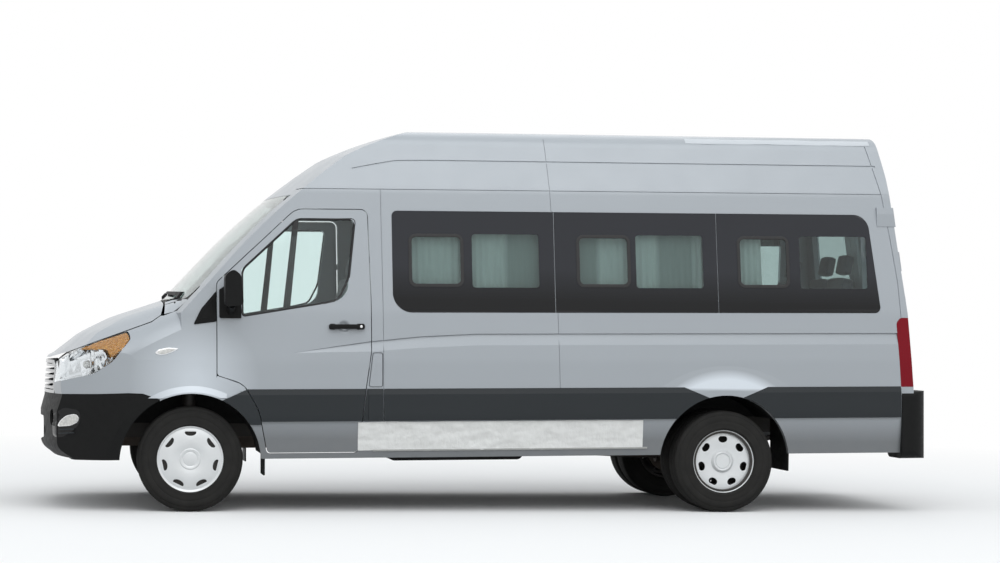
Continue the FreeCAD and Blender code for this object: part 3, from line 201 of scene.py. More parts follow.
def strung(name, start, moves):
    """Open line that goes from a place by some moves."""
    put_down()
    bpy.ops.mesh.primitive_plane_add(size=0.01, location=start)
    piece = opened(name)
    bpy.ops.mesh.merge(type="CENTER")
    for move in moves:
        bpy.ops.mesh.extrude_region_move(TRANSFORM_OT_translate={"value": move})
    bpy.ops.mesh.select_all(action="SELECT")
    return piece


def traced(name, corners, y=OUTSIDE):
    """Open flat outline in the side view, as x behind the front axle and height."""
    stops = [leaned(FRONT_AXLE + x, y, z) for x, z in corners]
    piece = strung(name, stops[0], [there - here for here, there in zip(stops, stops[1:])])
    bpy.ops.mesh.edge_face_add()
    mesh = bmesh.from_edit_mesh(piece.data)
    mesh.faces.ensure_lookup_table()
    mesh.faces[0].normal_update()
    if mesh.faces[0].normal.y > 0:
        bpy.ops.mesh.flip_normals()
    return piece


def rectangle(start, end, low, top):
    """Corners of an upright rectangle in the side view."""
    return ((start, low), (end, low), (end, top), (start, top))


def shrunk(corners, share):
    """Outline drawn smaller about its middle."""
    middle_x = sum(x for x, z in corners) / len(corners)
    middle_z = sum(z for x, z in corners) / len(corners)
    return [(middle_x + (x - middle_x) * share, middle_z + (z - middle_z) * share)
            for x, z in corners]


def rounded(radius, steps=4):
    """Round the corners of the open outline."""
    pick("VERT")
    bpy.ops.mesh.bevel(offset=radius, offset_pct=0, segments=steps, affect="VERTICES")


def hollowed(width):
    """Leave only a band of this width along the edge of the open outline."""
    pick("FACE")
    bpy.ops.mesh.inset(thickness=width, depth=0)
    bpy.ops.mesh.delete(type="FACE")


def subdivided(cuts):
    """Cut the faces of the open piece finer, so that they can follow a curve."""
    pick("FACE")
    bpy.ops.mesh.quads_convert_to_tris(quad_method="BEAUTY", ngon_method="BEAUTY")
    bpy.ops.mesh.subdivide(number_cuts=cuts)


def skin_at(x, z, nodes, reach):
    """Outermost y of some CAD nodes at a place in the side view, or None past their edges."""
    hits = [NODES[node].ray_cast((x, OUTSIDE, z), (0, 1, 0), distance=reach) for node in nodes]
    return min((place.y for hit, place, normal, face in hits if hit), default=None)


def pressed(piece, nodes, out, reach=SIDE_REACH):
    """Lay a flat piece on the left side of some CAD nodes, and lift it off by a little."""
    settled(piece)
    landed, missed = [], []
    for corner in piece.data.vertices:
        y = skin_at(corner.co.x, corner.co.z, nodes, reach)
        if y is None:
            missed.append(corner)
        else:
            corner.co.y = y
            landed.append(corner)
    for corner in missed:
        nearest = min(landed, key=lambda other: (other.co.xz - corner.co.xz).length)
        corner.co.y = nearest.co.y
    entered(piece)
    bpy.ops.transform.translate(value=(0, -out, 0))
    put_down()


def walled(piece, thickness, edge=0.0):
    """Give a sheet its thickness, inwards from its outer face, and round its edges."""
    modified(piece, "SOLIDIFY", thickness=thickness, offset=-1.0)
    if edge:
        modified(piece, "BEVEL", width=edge, segments=2, limit_method="ANGLE",
                 angle_limit=WALL_CORNER)


def plate(name, corners, nodes, proud, radius=0.0, steps=4, band=0.0, cuts=0,
          reach=SIDE_REACH, thick=None, edge=0.0):
    """Thin piece drawn in the side view and laid on the left side.

    It stands proud of the nodes there. Its corners may be rounded, only a band along its
    edge may be left, it may be cut finer to follow a curve, and its edges may be bevelled.
    """
    piece = traced(name, corners)
    if radius:
        rounded(radius, steps)
    if band:
        hollowed(band)
    if cuts:
        subdivided(cuts)
    put_down()
    pressed(piece, nodes, proud, reach)
    walled(piece, thick or proud + SUNK, edge)
    return piece


def both(piece):
    """Put a mirror image of the piece on the other side of the vehicle, in the same mesh."""
    settled(piece)
    modified(piece, "MIRROR", use_axis=(False, True, False), use_mirror_merge=False)
    return piece


def fitted(name, corners, nodes, proud, slot, finish, **shape):
    """Plate on both sides of the body, with its finish."""
    piece = plate(name, corners, nodes, proud, **shape)
    return finished(both(piece), "body", finish)


def crossed():
    """Move the open piece to the same place on the other side, and put it down."""
    bpy.ops.transform.resize(value=(1, -1, 1), center_override=(0, 0, 0))
    evened()


def twin(piece, name, body):
    """Mirror image of a finished piece, for a body on the other side."""
    take(piece)
    bpy.ops.object.duplicate()
    copy = opened(name)
    crossed()
    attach(copy, body)
    return copy


def turned(name, profile, centre):
    """Profile of radius and offset rows, spun about a line across the vehicle."""
    moves = [(r1 - r0, w1 - w0, 0) for (r0, w0), (r1, w1) in zip(profile, profile[1:])]
    piece = strung(name, centre + Vector((*profile[0], 0)), moves)
    bpy.ops.mesh.spin(steps=TURN_STEPS, angle=2 * math.pi, center=centre, axis=(0, 1, 0))
    bpy.ops.mesh.select_all(action="SELECT")
    bpy.ops.mesh.remove_doubles(threshold=TURN_DOUBLES)
    evened()
    return piece


def faced(piece, sign):
    """Turn the faces of an open sheet to one side of the vehicle."""
    entered(piece)
    mesh = bmesh.from_edit_mesh(piece.data)
    if sum(face.normal.y * face.calc_area() for face in mesh.faces) * sign < 0:
        bpy.ops.mesh.flip_normals()
    put_down()


def carved(piece, cutter):
    """Cut one piece with another, which is then thrown away."""
    modified(piece, "BOOLEAN", operation="DIFFERENCE", solver="EXACT", object=cutter)
    bpy.data.objects.remove(cutter)


def joined(pieces):
    """Make several pieces one mesh, named after the first."""
    take(pieces[0])
    for piece in pieces[1:]:
        piece.select_set(True)
    if len(pieces) > 1:
        bpy.ops.object.join()
    return bpy.context.object


# Materials

FINISHES = {}

EVEN = (1, 1, 1)
NOISE = "TexNoise"
WAVES = "TexWave"
CELLS = "TexVoronoi"

# Values between which most of a noise lies, and the Mix node's sockets for colours
NOISE_SPAN = (0.3, 0.7)
COLOR_A, COLOR_B, COLOR_OUT = 6, 7, 2


def shaded(color, share):
    """Colour made darker or lighter."""
    return tuple(min(1.0, part * share) for part in color)


class Nodes:
    """Shader nodes under construction, with their links."""

    def __init__(self, tree):
        self.tree = tree

    def link(self, start, end):
        """Join an output to an input."""
        self.tree.links.new(start, end)

    def node(self, kind, **settings):
        """New node with some settings."""
        made = self.tree.nodes.new("ShaderNode" + kind)
        for setting, value in settings.items():
            setattr(made, setting, value)
        return made

    def range(self, value, low, high, start=0.0, end=1.0):
        """A value stretched from one range to another and held at its ends."""
        made = self.node("MapRange", clamp=True)
        sockets = ("From Min", "From Max", "To Min", "To Max")
        for socket, number in zip(sockets, (low, high, start, end)):
            made.inputs[socket].default_value = number
        self.link(value, made.inputs["Value"])
        return made.outputs["Result"]

    def reckoned(self, operation, first, second, clamp=False):
        """Result of a sum on two values, of which the second may be a number."""
        made = self.node("Math", operation=operation, use_clamp=clamp)
        self.link(first, made.inputs[0])
        if isinstance(second, float):
            made.inputs[1].default_value = second
        else:
            self.link(second, made.inputs[1])
        return made.outputs[0]

    def times(self, first, second):
        """Product of two values."""
        return self.reckoned("MULTIPLY", first, second)

    def mixed(self, share, first, second):
        """Blend of two shaders."""
        mix = self.node("MixShader")
        for socket, value in zip(mix.inputs, (share, first, second)):
            self.link(value, socket)
        return mix.outputs[0]


class Finish(Nodes):
    """A material under construction. Patterns read the object's own coordinates."""

    def __init__(self, name, color, roughness, **sockets):
        material = bpy.data.materials.new(name)
        material.use_nodes = True
        super().__init__(material.node_tree)
        self.material = FINISHES[name] = material
        self.shader = self.tree.nodes["Principled BSDF"]
        self.shader.inputs["Base Color"].default_value = (*color, 1)
        self.shader.inputs["Roughness"].default_value = roughness
        for socket, value in sockets.items():
            self.shader.inputs[socket.replace("_", " ")].default_value = value
        self.place = self.node("TexCoord").outputs["Object"]

    def pattern(self, scale, detail, stretch=EVEN, kind=NOISE):
        """Noise, waves or cells, so many to the metre."""
        mapping = self.node("Mapping")
        mapping.inputs["Scale"].default_value = stretch
        self.link(self.place, mapping.inputs["Vector"])
        made = self.node(kind)
        made.inputs["Scale"].default_value = scale
        if "Detail" in made.inputs:
            made.inputs["Detail"].default_value = detail
        self.link(mapping.outputs["Vector"], made.inputs["Vector"])
        return made.outputs[0]

    def coordinate(self, axis):
        """The object's own coordinate along one axis."""
        split = self.node("SeparateXYZ")
        self.link(self.place, split.inputs["Vector"])
        return split.outputs[axis]

    def above(self, low, high):
        """Zero below one height and one above another."""
        return self.range(self.coordinate("Z"), low, high)

    def along(self, start, end, soft):
        """One between two places along the vehicle and zero past them."""
        x = self.coordinate("X")
        return self.times(self.range(x, start - soft, start + soft),
                          self.range(x, end - soft, end + soft, 1.0, 0.0))

    def near(self, x, z, full, none):
        """One round a place in the side view and zero far from it."""
        centre = leaned(x, 0, z)
        shift = self.node("Mapping")
        shift.inputs["Location"].default_value = (-centre.x, 0, -centre.z)
        shift.inputs["Scale"].default_value = (1, 0, 1)
        self.link(self.place, shift.inputs["Vector"])
        return self.range(self.length(shift.outputs["Vector"]), full, none, 1.0, 0.0)

    def length(self, vector):
        """Length of a vector."""
        made = self.node("VectorMath", operation="LENGTH")
        self.link(vector, made.inputs[0])
        return made.outputs["Value"]

    def bowl(self, first, second, z, radius):
        """Depth of a round dish about the nearer of two places along the vehicle."""
        deep = self.reckoned("MAXIMUM", self.near(first, z, 0.0, radius),
                             self.near(second, z, 0.0, radius))
        return self.range(self.times(deep, deep), 0.0, 1.0, 1.0, 0.0)

    def tint(self, value, share, color):
        """Mix another colour into the surface where a value is high."""
        mix = self.node("Mix", data_type="RGBA")
        base = self.shader.inputs["Base Color"]
        if base.is_linked:
            self.link(base.links[0].from_socket, mix.inputs[COLOR_A])
        else:
            mix.inputs[COLOR_A].default_value = base.default_value
        mix.inputs[COLOR_B].default_value = (*color, 1)
        self.link(self.times(value, share), mix.inputs["Factor"])
        self.link(mix.outputs[COLOR_OUT], base)
        return self

    def patches(self, color, share, *pattern):
        """Patches of another colour."""
        return self.tint(self.pattern(*pattern), share, color)

    def gloss(self, rough, smooth, *pattern):
        """Roughness that follows a pattern."""
        self.link(self.range(self.pattern(*pattern), *NOISE_SPAN, rough, smooth),
                  self.shader.inputs["Roughness"])
        return self

    def raised(self, value, distance, strength):
        """Raise and sink the surface with a value, up to a distance in metres."""
        bump = self.node("Bump")
        bump.inputs["Distance"].default_value = distance
        bump.inputs["Strength"].default_value = strength
        self.link(value, bump.inputs["Height"])
        self.link(bump.outputs["Normal"], self.shader.inputs["Normal"])
        return self

    def relief(self, distance, strength, *pattern):
        """Raise and sink the surface by a pattern."""
        return self.raised(self.pattern(*pattern), distance, strength)


# Painted highlights on the swollen places of the sides, which face up: x, height, radii of full
# and of no effect, lowest height, share
SWELL_HIGHLIGHTS = (
    (REAR_AXLE, HUB_HEIGHT, 0.535, 0.600, 0.818, 0.75),
    (FRONT_AXLE + 0.02, 0.88, 0.05, 0.42, 0.70, 0.55),
)
HIGHLIGHT_LIGHTNESS = 2.1

# Heights between which painted shade and road dust fade out on the sides, and a painted
# reflection lightens the windows' print upwards
SHADE_AND_DUST_HEIGHTS = (0.48, 0.68)
PRINT_REFLECTION_HEIGHTS = (1.40, 1.62)


def make_paint(look):
    """Silver paint with painted shade and road dust low on the sides, painted highlights on its
    swollen places, and the paint of the handles' dishes.
    """
    paint = Finish("Silver paint", look.paint, 0.36, Metallic=0.2, Coat_Weight=0.25,
                   Coat_Roughness=0.15)
    paint.patches(shaded(look.paint, 0.8), 0.18, 1.7, 4)
    shade_and_dust = paint.range(paint.coordinate("Z"), *SHADE_AND_DUST_HEIGHTS, 1.0, 0.0)
    # Painted shade: the paint darker low on the sides, where the road dust lies too
    paint.tint(shade_and_dust, 0.8, shaded(look.paint, 0.3))
    paint.tint(paint.times(shade_and_dust, paint.pattern(9, 6)), 0.25, look.dust)
    # Painted highlights: the paint lighter on the swollen places, which face up
    for x, z, full, none, low, share in SWELL_HIGHLIGHTS:
        painted_highlight = paint.times(paint.near(x, z, full, none), paint.above(low, low + 0.02))
        paint.tint(painted_highlight, share, shaded(look.paint, HIGHLIGHT_LIGHTNESS))
    paint.gloss(0.4, 0.28, 6, 5).relief(0.0002, 0.12, 1400, 1)

    dish = Finish("Dished paint", look.paint, 0.3, Metallic=0.25, Coat_Weight=0.3,
                  Coat_Roughness=0.12)
    dish.raised(dish.bowl(FRONT_AXLE + DOOR_HANDLE[2], FRONT_AXLE + SLIDING_HANDLE[2],
                          HANDLE_HEIGHT, DISH_RADIUS), 0.03, 1.0)


def make_plastics():
    """Plastics, rubbers and what is dark on the outside."""
    (Finish("Grained black plastic", (0.005, 0.0053, 0.0056), 0.6, Specular_IOR_Level=0.15)
     .patches((0.016, 0.016, 0.015), 0.25, 4, 5).gloss(0.62, 0.48, 30, 4)
     .relief(0.0006, 0.35, 900, 2))
    (Finish("Dark trim", (0.014, 0.018, 0.021), 0.45, Specular_IOR_Level=0.3)
     .patches((0.03, 0.034, 0.038), 0.3, 3, 5, (0.3, 1, 2)).relief(0.0005, 0.2, 700, 2))
    (Finish("Window rubber", (0.012, 0.012, 0.013), 0.6)
     .patches((0.03, 0.03, 0.03), 0.3, 12, 4).relief(0.0006, 0.2, 260, 2))
    (Finish("Tyre rubber", (0.010, 0.010, 0.010), 0.75, Specular_IOR_Level=0.2)
     .patches((0.045, 0.043, 0.039), 0.45, 11, 6).relief(0.0012, 0.5, 160, 3))
    ink = Finish("Black glass print", (0.004, 0.0045, 0.005), 0.05, Specular_IOR_Level=0.3)
    # Painted reflection: the print lighter towards its top
    ink.tint(ink.above(*PRINT_REFLECTION_HEIGHTS), 1.0, (0.026, 0.028, 0.034))
    ink.patches((0.012, 0.012, 0.014), 0.3, 1.4, 3)


def make_metals():
    """Chrome, steel, iron, the black steel laid on the rims as painted shade, and the silver of
    the wheel covers.
    """
    Finish("Chrome", (0.78, 0.79, 0.8), 0.08, Metallic=1.0).gloss(0.14, 0.06, 40, 4)
    Finish("Dark chrome", (0.3, 0.31, 0.32), 0.16, Metallic=1.0).gloss(0.24, 0.12, 40, 4)
    (Finish("Lamp chrome", (0.86, 0.87, 0.88), 0.1, Metallic=1.0)
     .relief(0.010, 0.35, 5, 0, (1, 1, 0.4), WAVES))
    # Black steel, also laid on the rims as painted shade
    (Finish("Satin black steel and painted rim shade", (0.02, 0.02, 0.021), 0.5, Metallic=0.3)
     .patches((0.07, 0.058, 0.045), 0.5, 14, 6).relief(0.001, 0.3, 160, 3))
    (Finish("Rough iron", (0.09, 0.085, 0.08), 0.7, Metallic=0.6)
     .patches((0.13, 0.085, 0.055), 0.6, 20, 6).relief(0.002, 0.4, 120, 4))
    (Finish("Wheel silver", (0.72, 0.74, 0.75), 0.32, Metallic=0.4)
     .patches((0.45, 0.46, 0.46), 0.25, 9, 5).gloss(0.42, 0.28, 25, 4))


def make_glasses():
    """Window glass and the glass of the lamps."""
    for name, color in (("Greenish glass", (0.76, 0.86, 0.84)), ("Door glass", (0.81, 0.91, 0.9)),
                        ("Tinted glass", (0.54, 0.64, 0.63))):
        (Finish(name, color, 0.02, Transmission_Weight=1.0, IOR=1.45)
         .relief(0.002, 0.1, 1.2, 2))
    (Finish("Clear lens", (0.93, 0.95, 0.96), 0.03, Transmission_Weight=1.0, IOR=1.2)
     .relief(0.004, 0.2, 3, 1))
    (Finish("Pale lens", (0.74, 0.73, 0.7), 0.12, Coat_Weight=0.8, Coat_Roughness=0.04)
     .patches((0.5, 0.5, 0.49), 1.0, 60, 0, EVEN, CELLS)
     .relief(0.003, 0.5, 60, 0, EVEN, CELLS))
    (Finish("Red lens", (0.2, 0.004, 0.012), 0.15, Specular_IOR_Level=0.15)
     .patches((0.34, 0.012, 0.03), 1.0, 1, 0, (0, 0, 60), WAVES)
     .relief(0.002, 0.5, 28, 0, (0, 0, 1), WAVES))
    (Finish("Amber lens", (0.42, 0.14, 0.015), 0.2, Coat_Weight=0.2, Coat_Roughness=0.05)
     .patches((0.62, 0.33, 0.09), 1.0, 110, 0, EVEN, CELLS)
     .relief(0.004, 0.8, 110, 0, EVEN, CELLS))


def make_cloths():
    """Cloth and carpet of the inside, and the white films and dust of the outside."""
    (Finish("Seat cloth", (0.1, 0.11, 0.13), 0.85, Sheen_Weight=0.35)
     .patches((0.17, 0.18, 0.2), 1.0, 420, 2, (1, 1, 2.5))
     .patches((0.06, 0.065, 0.075), 0.35, 5, 4).relief(0.0015, 0.5, 420, 2, (1, 1, 2.5)))
    curtain = Finish("Curtain cloth", (0.8, 0.84, 0.82), 0.8, Sheen_Weight=0.3)
    curtain.patches((0.5, 0.55, 0.54), 0.5, 16, 3, (1, 1, 0.06))
    for start, end in SHEER_SPANS:
        sheer = curtain.along(FRONT_AXLE + start, FRONT_AXLE + end, SHEER_EDGE)
        curtain.tint(sheer, 0.8, (0.30, 0.34, 0.33))
    curtain.relief(0.0006, 0.4, 900, 1, (1, 1, 0.5))
    (Finish("Cabin floor", (0.1, 0.1, 0.1), 0.8)
     .patches((0.06, 0.06, 0.062), 1.0, 40, 5).relief(0.001, 0.4, 200, 3))
    (Finish("White wavy film", (0.82, 0.83, 0.82), 0.35)
     .patches((0.55, 0.56, 0.55), 0.5, 26, 4, (1, 1, 0.6))
     .relief(0.01, 0.6, 26, 4, (1, 1, 0.6)))
    Finish("Thin film", (0.5, 0.53, 0.56), 0.3).relief(0.006, 0.5, 30, 4, (1, 1, 0.6))
    Finish("Dusty flange", (0.42, 0.43, 0.42), 0.6).patches((0.2, 0.2, 0.19), 0.5, 30, 5)


# Finish of each CAD node that stays in view
NODE_FINISHES = {
    "Silver paint": (
        "body_side_left", "body_side_right", "roof_cap", "cab_frame_left", "cab_frame_right",
        "fenders", "hood", "front_door_left", "front_door_right", "rear_door_left",
        "rear_door_right", "rear_sill", "sliding_door", "fuel_flap",
    ),
    "Grained black plastic": (
        "cowl_panel", "front_bumper", "rear_bumper", "mirror_left", "mirror_right",
        "wheel_houses", "mud_flaps", "fuel_tank", "dashboard", "steering_wheel",
    ),
    "Dark trim": ("side_trim", "door_trim_left", "door_trim_right"),
    "Dark chrome": ("grille",),
    "Clear lens": ("front_lamps",),
    "Red lens": ("tail_lamps",),
    "Greenish glass": ("windshield",),
    "Door glass": ("door_glass_left", "door_glass_right"),
    "Tinted glass": ("side_glass", "rear_glass_left", "rear_glass_right"),
    # The rims get this black steel as painted shade, for the shade that they lie in behind the
    # wheel covers
    "Satin black steel and painted rim shade": (
        "chassis_rails", "knuckle_left", "knuckle_right", "struts", "seat_bases",
        "front_subframe", "leaf_springs", "tie_rods", "front_rim_left", "front_rim_right",
        "rear_rims_left", "rear_rims_right",
    ),
    "Rough iron": ("engine", "rear_axle", "exhaust"),
    "Cabin floor": ("floor",),
}


class MinibusLook(bpy.types.PropertyGroup):
    """Sizes and colours that a user may change."""

    paint: FloatVectorProperty(
        name="Paint", description="Base colour of the silver paint",
        subtype="COLOR", default=(0.36, 0.39, 0.42), min=0, max=1)
    dust: FloatVectorProperty(
        name="Dust", description="Road dust low on the sides",
        subtype="COLOR", default=(0.27, 0.265, 0.25), min=0, max=1)
    floor: FloatVectorProperty(
        name="Floor", description="Pale studio floor",
        subtype="COLOR", default=(0.85, 0.85, 0.85), min=0, max=1)
    seal: FloatProperty(
        name="Window seal", description="Width of the rubber round a door's window",
        unit="LENGTH", default=0.024, min=0.01, max=0.05)
    pleat: FloatProperty(
        name="Curtain pleat", description="Distance between two curtain pleats",
        unit="LENGTH", default=0.042, min=0.02, max=0.1)
    crinkle: FloatProperty(
        name="Film crinkle", description="How far the loose film stands off",
        unit="LENGTH", default=0.004, min=0.001, max=0.01)
    cover_holes: IntProperty(
        name="Cover holes", description="Openings in each wheel cover",
        default=7, min=3, max=12)


def look():
    """Sizes and colours as the user has set them."""
    return bpy.context.scene.minibus_look


class MINIBUS_OT_finishes(bpy.types.Operator):
    """Make the materials and lay them on the CAD nodes."""

    bl_idname = "minibus.finishes"
    bl_label = "Finishes"

    def execute(self, context):
        make_paint(look())
        for make in (make_plastics, make_metals, make_glasses, make_cloths):
            make()
        for finish, names in NODE_FINISHES.items():
            for name in names:
                NODES[name].data.materials.clear()
                NODES[name].data.materials.append(FINISHES[finish])
        return {"FINISHED"}


# Clear parts of the side windows, as x behind the front axle and height: start, end, low,
# top. The first three have a slider in a frame.
SLIDERS = (
    (1.423, 1.790, 1.491, 1.843), (2.553, 2.923, 1.491, 1.843), (3.665, 4.030, 1.491, 1.843),
)
CLEAR_PANES = (
    (1.843, 2.302, 1.488, 1.843), (2.957, 3.428, 1.488, 1.843), (4.100, 4.583, 1.488, 1.843),
)
SLIDER_BAR = 0.022
SLIDER_CORNER = 0.045
PANE_CORNER = 0.02
PRINT_THICKNESS = 0.0008

# How squarely the glass's outer faces look sideways
SIDEWAYS = 0.8

# How far the clear parts are cut short at both ends, and the cutters' place and reach in y
PRINT_OVERLAP = 0.004
CUTTER_START = -1.4
CUTTER_REACH = 2.8


class MINIBUS_OT_side_windows(bpy.types.Operator):
    """Black print round the clear parts of the side glass, and the slider frames."""

    bl_idname = "minibus.side_windows"
    bl_label = "Side windows"

    def execute(self, context):
        band = copied("side_glass", "window_print")
        pick("FACE", lambda face: abs(face.normal.y) < SIDEWAYS
             or face.normal.y * face.calc_center_median().y < 0)
        bpy.ops.mesh.delete(type="FACE")
        evened()
        modified(band, "SOLIDIFY", thickness=PRINT_THICKNESS, offset=1.0)
        cutters = [self.cutter(pane, SLIDER_CORNER) for pane in SLIDERS]
        cutters += [self.cutter(pane, PANE_CORNER) for pane in CLEAR_PANES]
        for cutter in cutters:
            carved(band, cutter)
        finished(band, "body", "Black glass print")
        for number, pane in enumerate(SLIDERS, 1):
            fitted("slider_frame_" + str(number), rectangle(*pane), ("side_glass",), 0.004,
                   "rubber", "Window rubber", radius=0.05, steps=6, band=SLIDER_BAR,
                   edge=0.0012, thick=0.004)
        return {"FINISHED"}

    def cutter(self, pane, corner):
        """Rounded block through both sides at one clear part."""
        start, end, low, top = pane
        outline = rectangle(start + PRINT_OVERLAP, end - PRINT_OVERLAP, low, top)
        block = traced("cutter", outline, CUTTER_START)
        rounded(corner)
        pick("FACE")
        bpy.ops.mesh.extrude_region_move(
            TRANSFORM_OT_translate={"value": (0, CUTTER_REACH, 0)})
        evened()
        settled(block)
        return block


# Opening of the front door's window and the bar in it, as x behind the front axle and height
DOOR_WINDOW = (
    (0.325, 1.290), (0.577, 1.331), (0.830, 1.372), (0.960, 1.402), (1.030, 1.540),
    (1.076, 1.940), (0.690, 1.940), (0.325, 1.602),
)
DIVIDER = ((0.598, 1.334), (0.646, 1.342), (0.704, 1.938), (0.664, 1.918))
SEAL_OUTSIDE = 0.45


class MINIBUS_OT_door_windows(bpy.types.Operator):
    """Rubber round each front door's window, and the bar that divides it."""

    bl_idname = "minibus.door_windows"
    bl_label = "Door windows"

    def execute(self, context):
        for make, name in ((self.seal, "door_seal"), (self.bar, "window_bar")):
            piece = make(name + "_left")
            finished(piece, "front_door_left", "Window rubber")
            twin(piece, name + "_right", "front_door_right")
        return {"FINISHED"}

    def bar(self, name):
        """Bar across the window."""
        return plate(name, DIVIDER, ("door_glass_left",), 0.009, edge=0.002)

    def seal(self, name):
        """Rubber that lies half on the door and half on its glass."""
        width = look().seal
        seal = traced(name, DOOR_WINDOW)
        rounded(0.03, 3)
        pick("FACE")
        bpy.ops.mesh.inset(thickness=width * SEAL_OUTSIDE, depth=0, use_outset=True)
        # Only the outline's own face has more than four corners
        pick("FACE", lambda face: len(face.verts) > 4)
        bpy.ops.mesh.inset(thickness=width * (1 - SEAL_OUTSIDE), depth=0)
        bpy.ops.mesh.delete(type="FACE")
        put_down()
        pressed(seal, ("front_door_left", "door_glass_left"), 0.0035)
        walled(seal, 0.0045, 0.0012)
        return seal


# Curtains behind the side windows, as x behind the front axle, the parts of them that are
# drawn flat and look thin, and how softly those end
CURTAIN_SPANS = ((1.385, 2.374), (2.434, 3.495), (3.555, 3.850))
SHEER_SPANS = ((2.07, 2.70), (3.11, 3.36))
SHEER_EDGE = 0.02

# Inner face of the side windows' foot, as y and height, and the windows' slope
WINDOW_FOOT = (0.948, 1.360)
WINDOW_SLOPE = math.atan2(0.107, 0.814)

# The cloth's height, its rise above the windows' foot and its distance behind the glass
CURTAIN_HEIGHT = 0.545
CURTAIN_RISE = 0.012
CURTAIN_INWARD = 0.0112

# Depth of a pleat at the hem, how much it loses up to the top, and what is left of it where
# the cloth is drawn flat
PLEAT_DEPTH = 0.0075
PLEAT_LOSS = 0.002
SHEER_DEPTH = 0.25
COLUMNS_A_PLEAT = 8


class MINIBUS_OT_curtains(bpy.types.Operator):
    """Pleated curtains hung behind the side windows."""

    bl_idname = "minibus.curtains"
    bl_label = "Curtains"

    def execute(self, context):
        sheets = [self.hang(side, sign, number, start, end) for side, sign in SIDES
                  for number, (start, end) in enumerate(CURTAIN_SPANS, 1)]
        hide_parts("curtains")
        return {"FINISHED"}

    def hang(self, side, sign, number, start, end):
        """One sheet with deep, slightly uneven pleats inside its CAD box."""
        pleat = look().pleat
        columns = int((end - start) / pleat) * COLUMNS_A_PLEAT
        put_down()
        bpy.ops.mesh.primitive_grid_add(x_subdivisions=columns, y_subdivisions=10, size=1)
        sheet = named(side + "_curtain_" + str(number))
        foot_y, foot_z = WINDOW_FOOT
        for vertex in sheet.data.vertices:
            share, rise = vertex.co.x + 0.5, vertex.co.y + 0.5
            along = start + share * (end - start)
            uneven = 0.9 * math.sin(along * 9 + number)
            wave = math.sin(2 * math.pi * along / pleat + uneven)
            deep = PLEAT_DEPTH - PLEAT_LOSS * rise
            deep *= 0.75 + 0.25 * math.sin(along * 5 + 2 * number)
            if any(low < along < high for low, high in SHEER_SPANS):
                deep *= SHEER_DEPTH
            up = CURTAIN_RISE + rise * CURTAIN_HEIGHT
            inward = CURTAIN_INWARD + deep * wave
            y = foot_y - up * math.sin(WINDOW_SLOPE) - inward * math.cos(WINDOW_SLOPE)
            z = foot_z + up * math.cos(WINDOW_SLOPE) - inward * math.sin(WINDOW_SLOPE)
            vertex.co = leaned(FRONT_AXLE + along, sign * y, z)
        faced(sheet, sign)
        finished(sheet, "body", "Curtain cloth", smooth=80)
        return sheet

    def cloth_length(self, sheet, count):
        """Length of the cloth along its mid-height row of points."""
        points = list(sheet.data.vertices)
        row = points[len(points) // count // 2 * count:][:count]
        return sum((a.co - b.co).length for a, b in zip(row, row[1:]))


# Seats of the cab: name, x of the cushion's front behind the front axle, y of the middle,
# width, places side by side. Seats of the four rows: name, y, width, places.
CAB_SEATS = (("cab_seat_left", 0.64, -0.40, 0.48, 1), ("cab_bench_right", 0.64, 0.30, 0.80, 2))
SEAT_ROWS = (1.56, 2.36, 3.16, 3.96)
ROW_SEATS = (("double_seat", -0.425, 0.78, 2), ("single_seat", 0.56, 0.42, 1))

# Pads of one place: start and end behind the cushion's front, low, top, inset of the sides,
# crowns along x, y and z, and whether it leans back with the backrest
SEAT_PADS = (
    ("", 0.0, 0.43, 1.0, 1.128, 0.0, (0.012, 0.01, 0.014), False),
    ("_back", 0.40, 0.505, 1.10, 1.58, 0.004, (0.014, 0.012, 0.01), True),
    ("_head", 0.42, 0.50, 1.60, 1.745, 0.09, (0.012, 0.012, 0.012), True),
)
BACK_ANGLE = math.radians(-12)
BACK_PIVOT = (0.45, 1.10)
SEAM_PULL = 0.002
PAD_CUTS = 5

# Share of the way from a pad's middle to its face at which a corner belongs to the face
ON_FACE = 0.98


def padded_block(name, low, high, crown):
    """Cushion with a crowned face and sides that pull in between its corners."""
    size = [b - a for a, b in zip(low, high)]
    centre = [(a + b) / 2 for a, b in zip(low, high)]
    put_down()
    bpy.ops.mesh.primitive_cube_add(size=1, location=centre, scale=size)
    piece = named(name)
    settled(piece)
    entered(piece)
    bpy.ops.mesh.subdivide(number_cuts=PAD_CUTS)
    put_down()
    for vertex in piece.data.vertices:
        share = [2 * (c - m) / s for c, m, s in zip(vertex.co, centre, size)]
        for axis in range(3):
            if abs(share[axis]) > ON_FACE:
                first, second = share[axis - 2], share[axis - 1]
                fullness = max(0.0, 1 - first ** 2) * max(0.0, 1 - second ** 2)
                edge = 1 - abs(abs(first) - 1)
                sunk = crown[axis] * (1 - fullness) + SEAM_PULL * edge
                vertex.co[axis] -= math.copysign(sunk, share[axis])
    modified(piece, "SUBSURF", levels=2, render_levels=2)
    return piece


def seat_piece(name, x, y, wide, places):
    """Cushions, backrests and headrests of one seat or bench."""
    x0 = FRONT_AXLE + x
    pads = []
    for place in range(places):
        near = y - wide / 2 + place * wide / places
        far = near + wide / places
        for part, start, end, low, top, inset, crown, leans in SEAT_PADS:
            pad = padded_block(name + part, (x0 + start, near + inset, low),
                               (x0 + end, far - inset, top), crown)
            if leans:
                entered(pad)
                bpy.ops.transform.rotate(value=BACK_ANGLE, orient_axis="Y",
                                         center_override=(x0 + BACK_PIVOT[0], y, BACK_PIVOT[1]))
                put_down()
            pads.append(pad)
    return joined(pads)


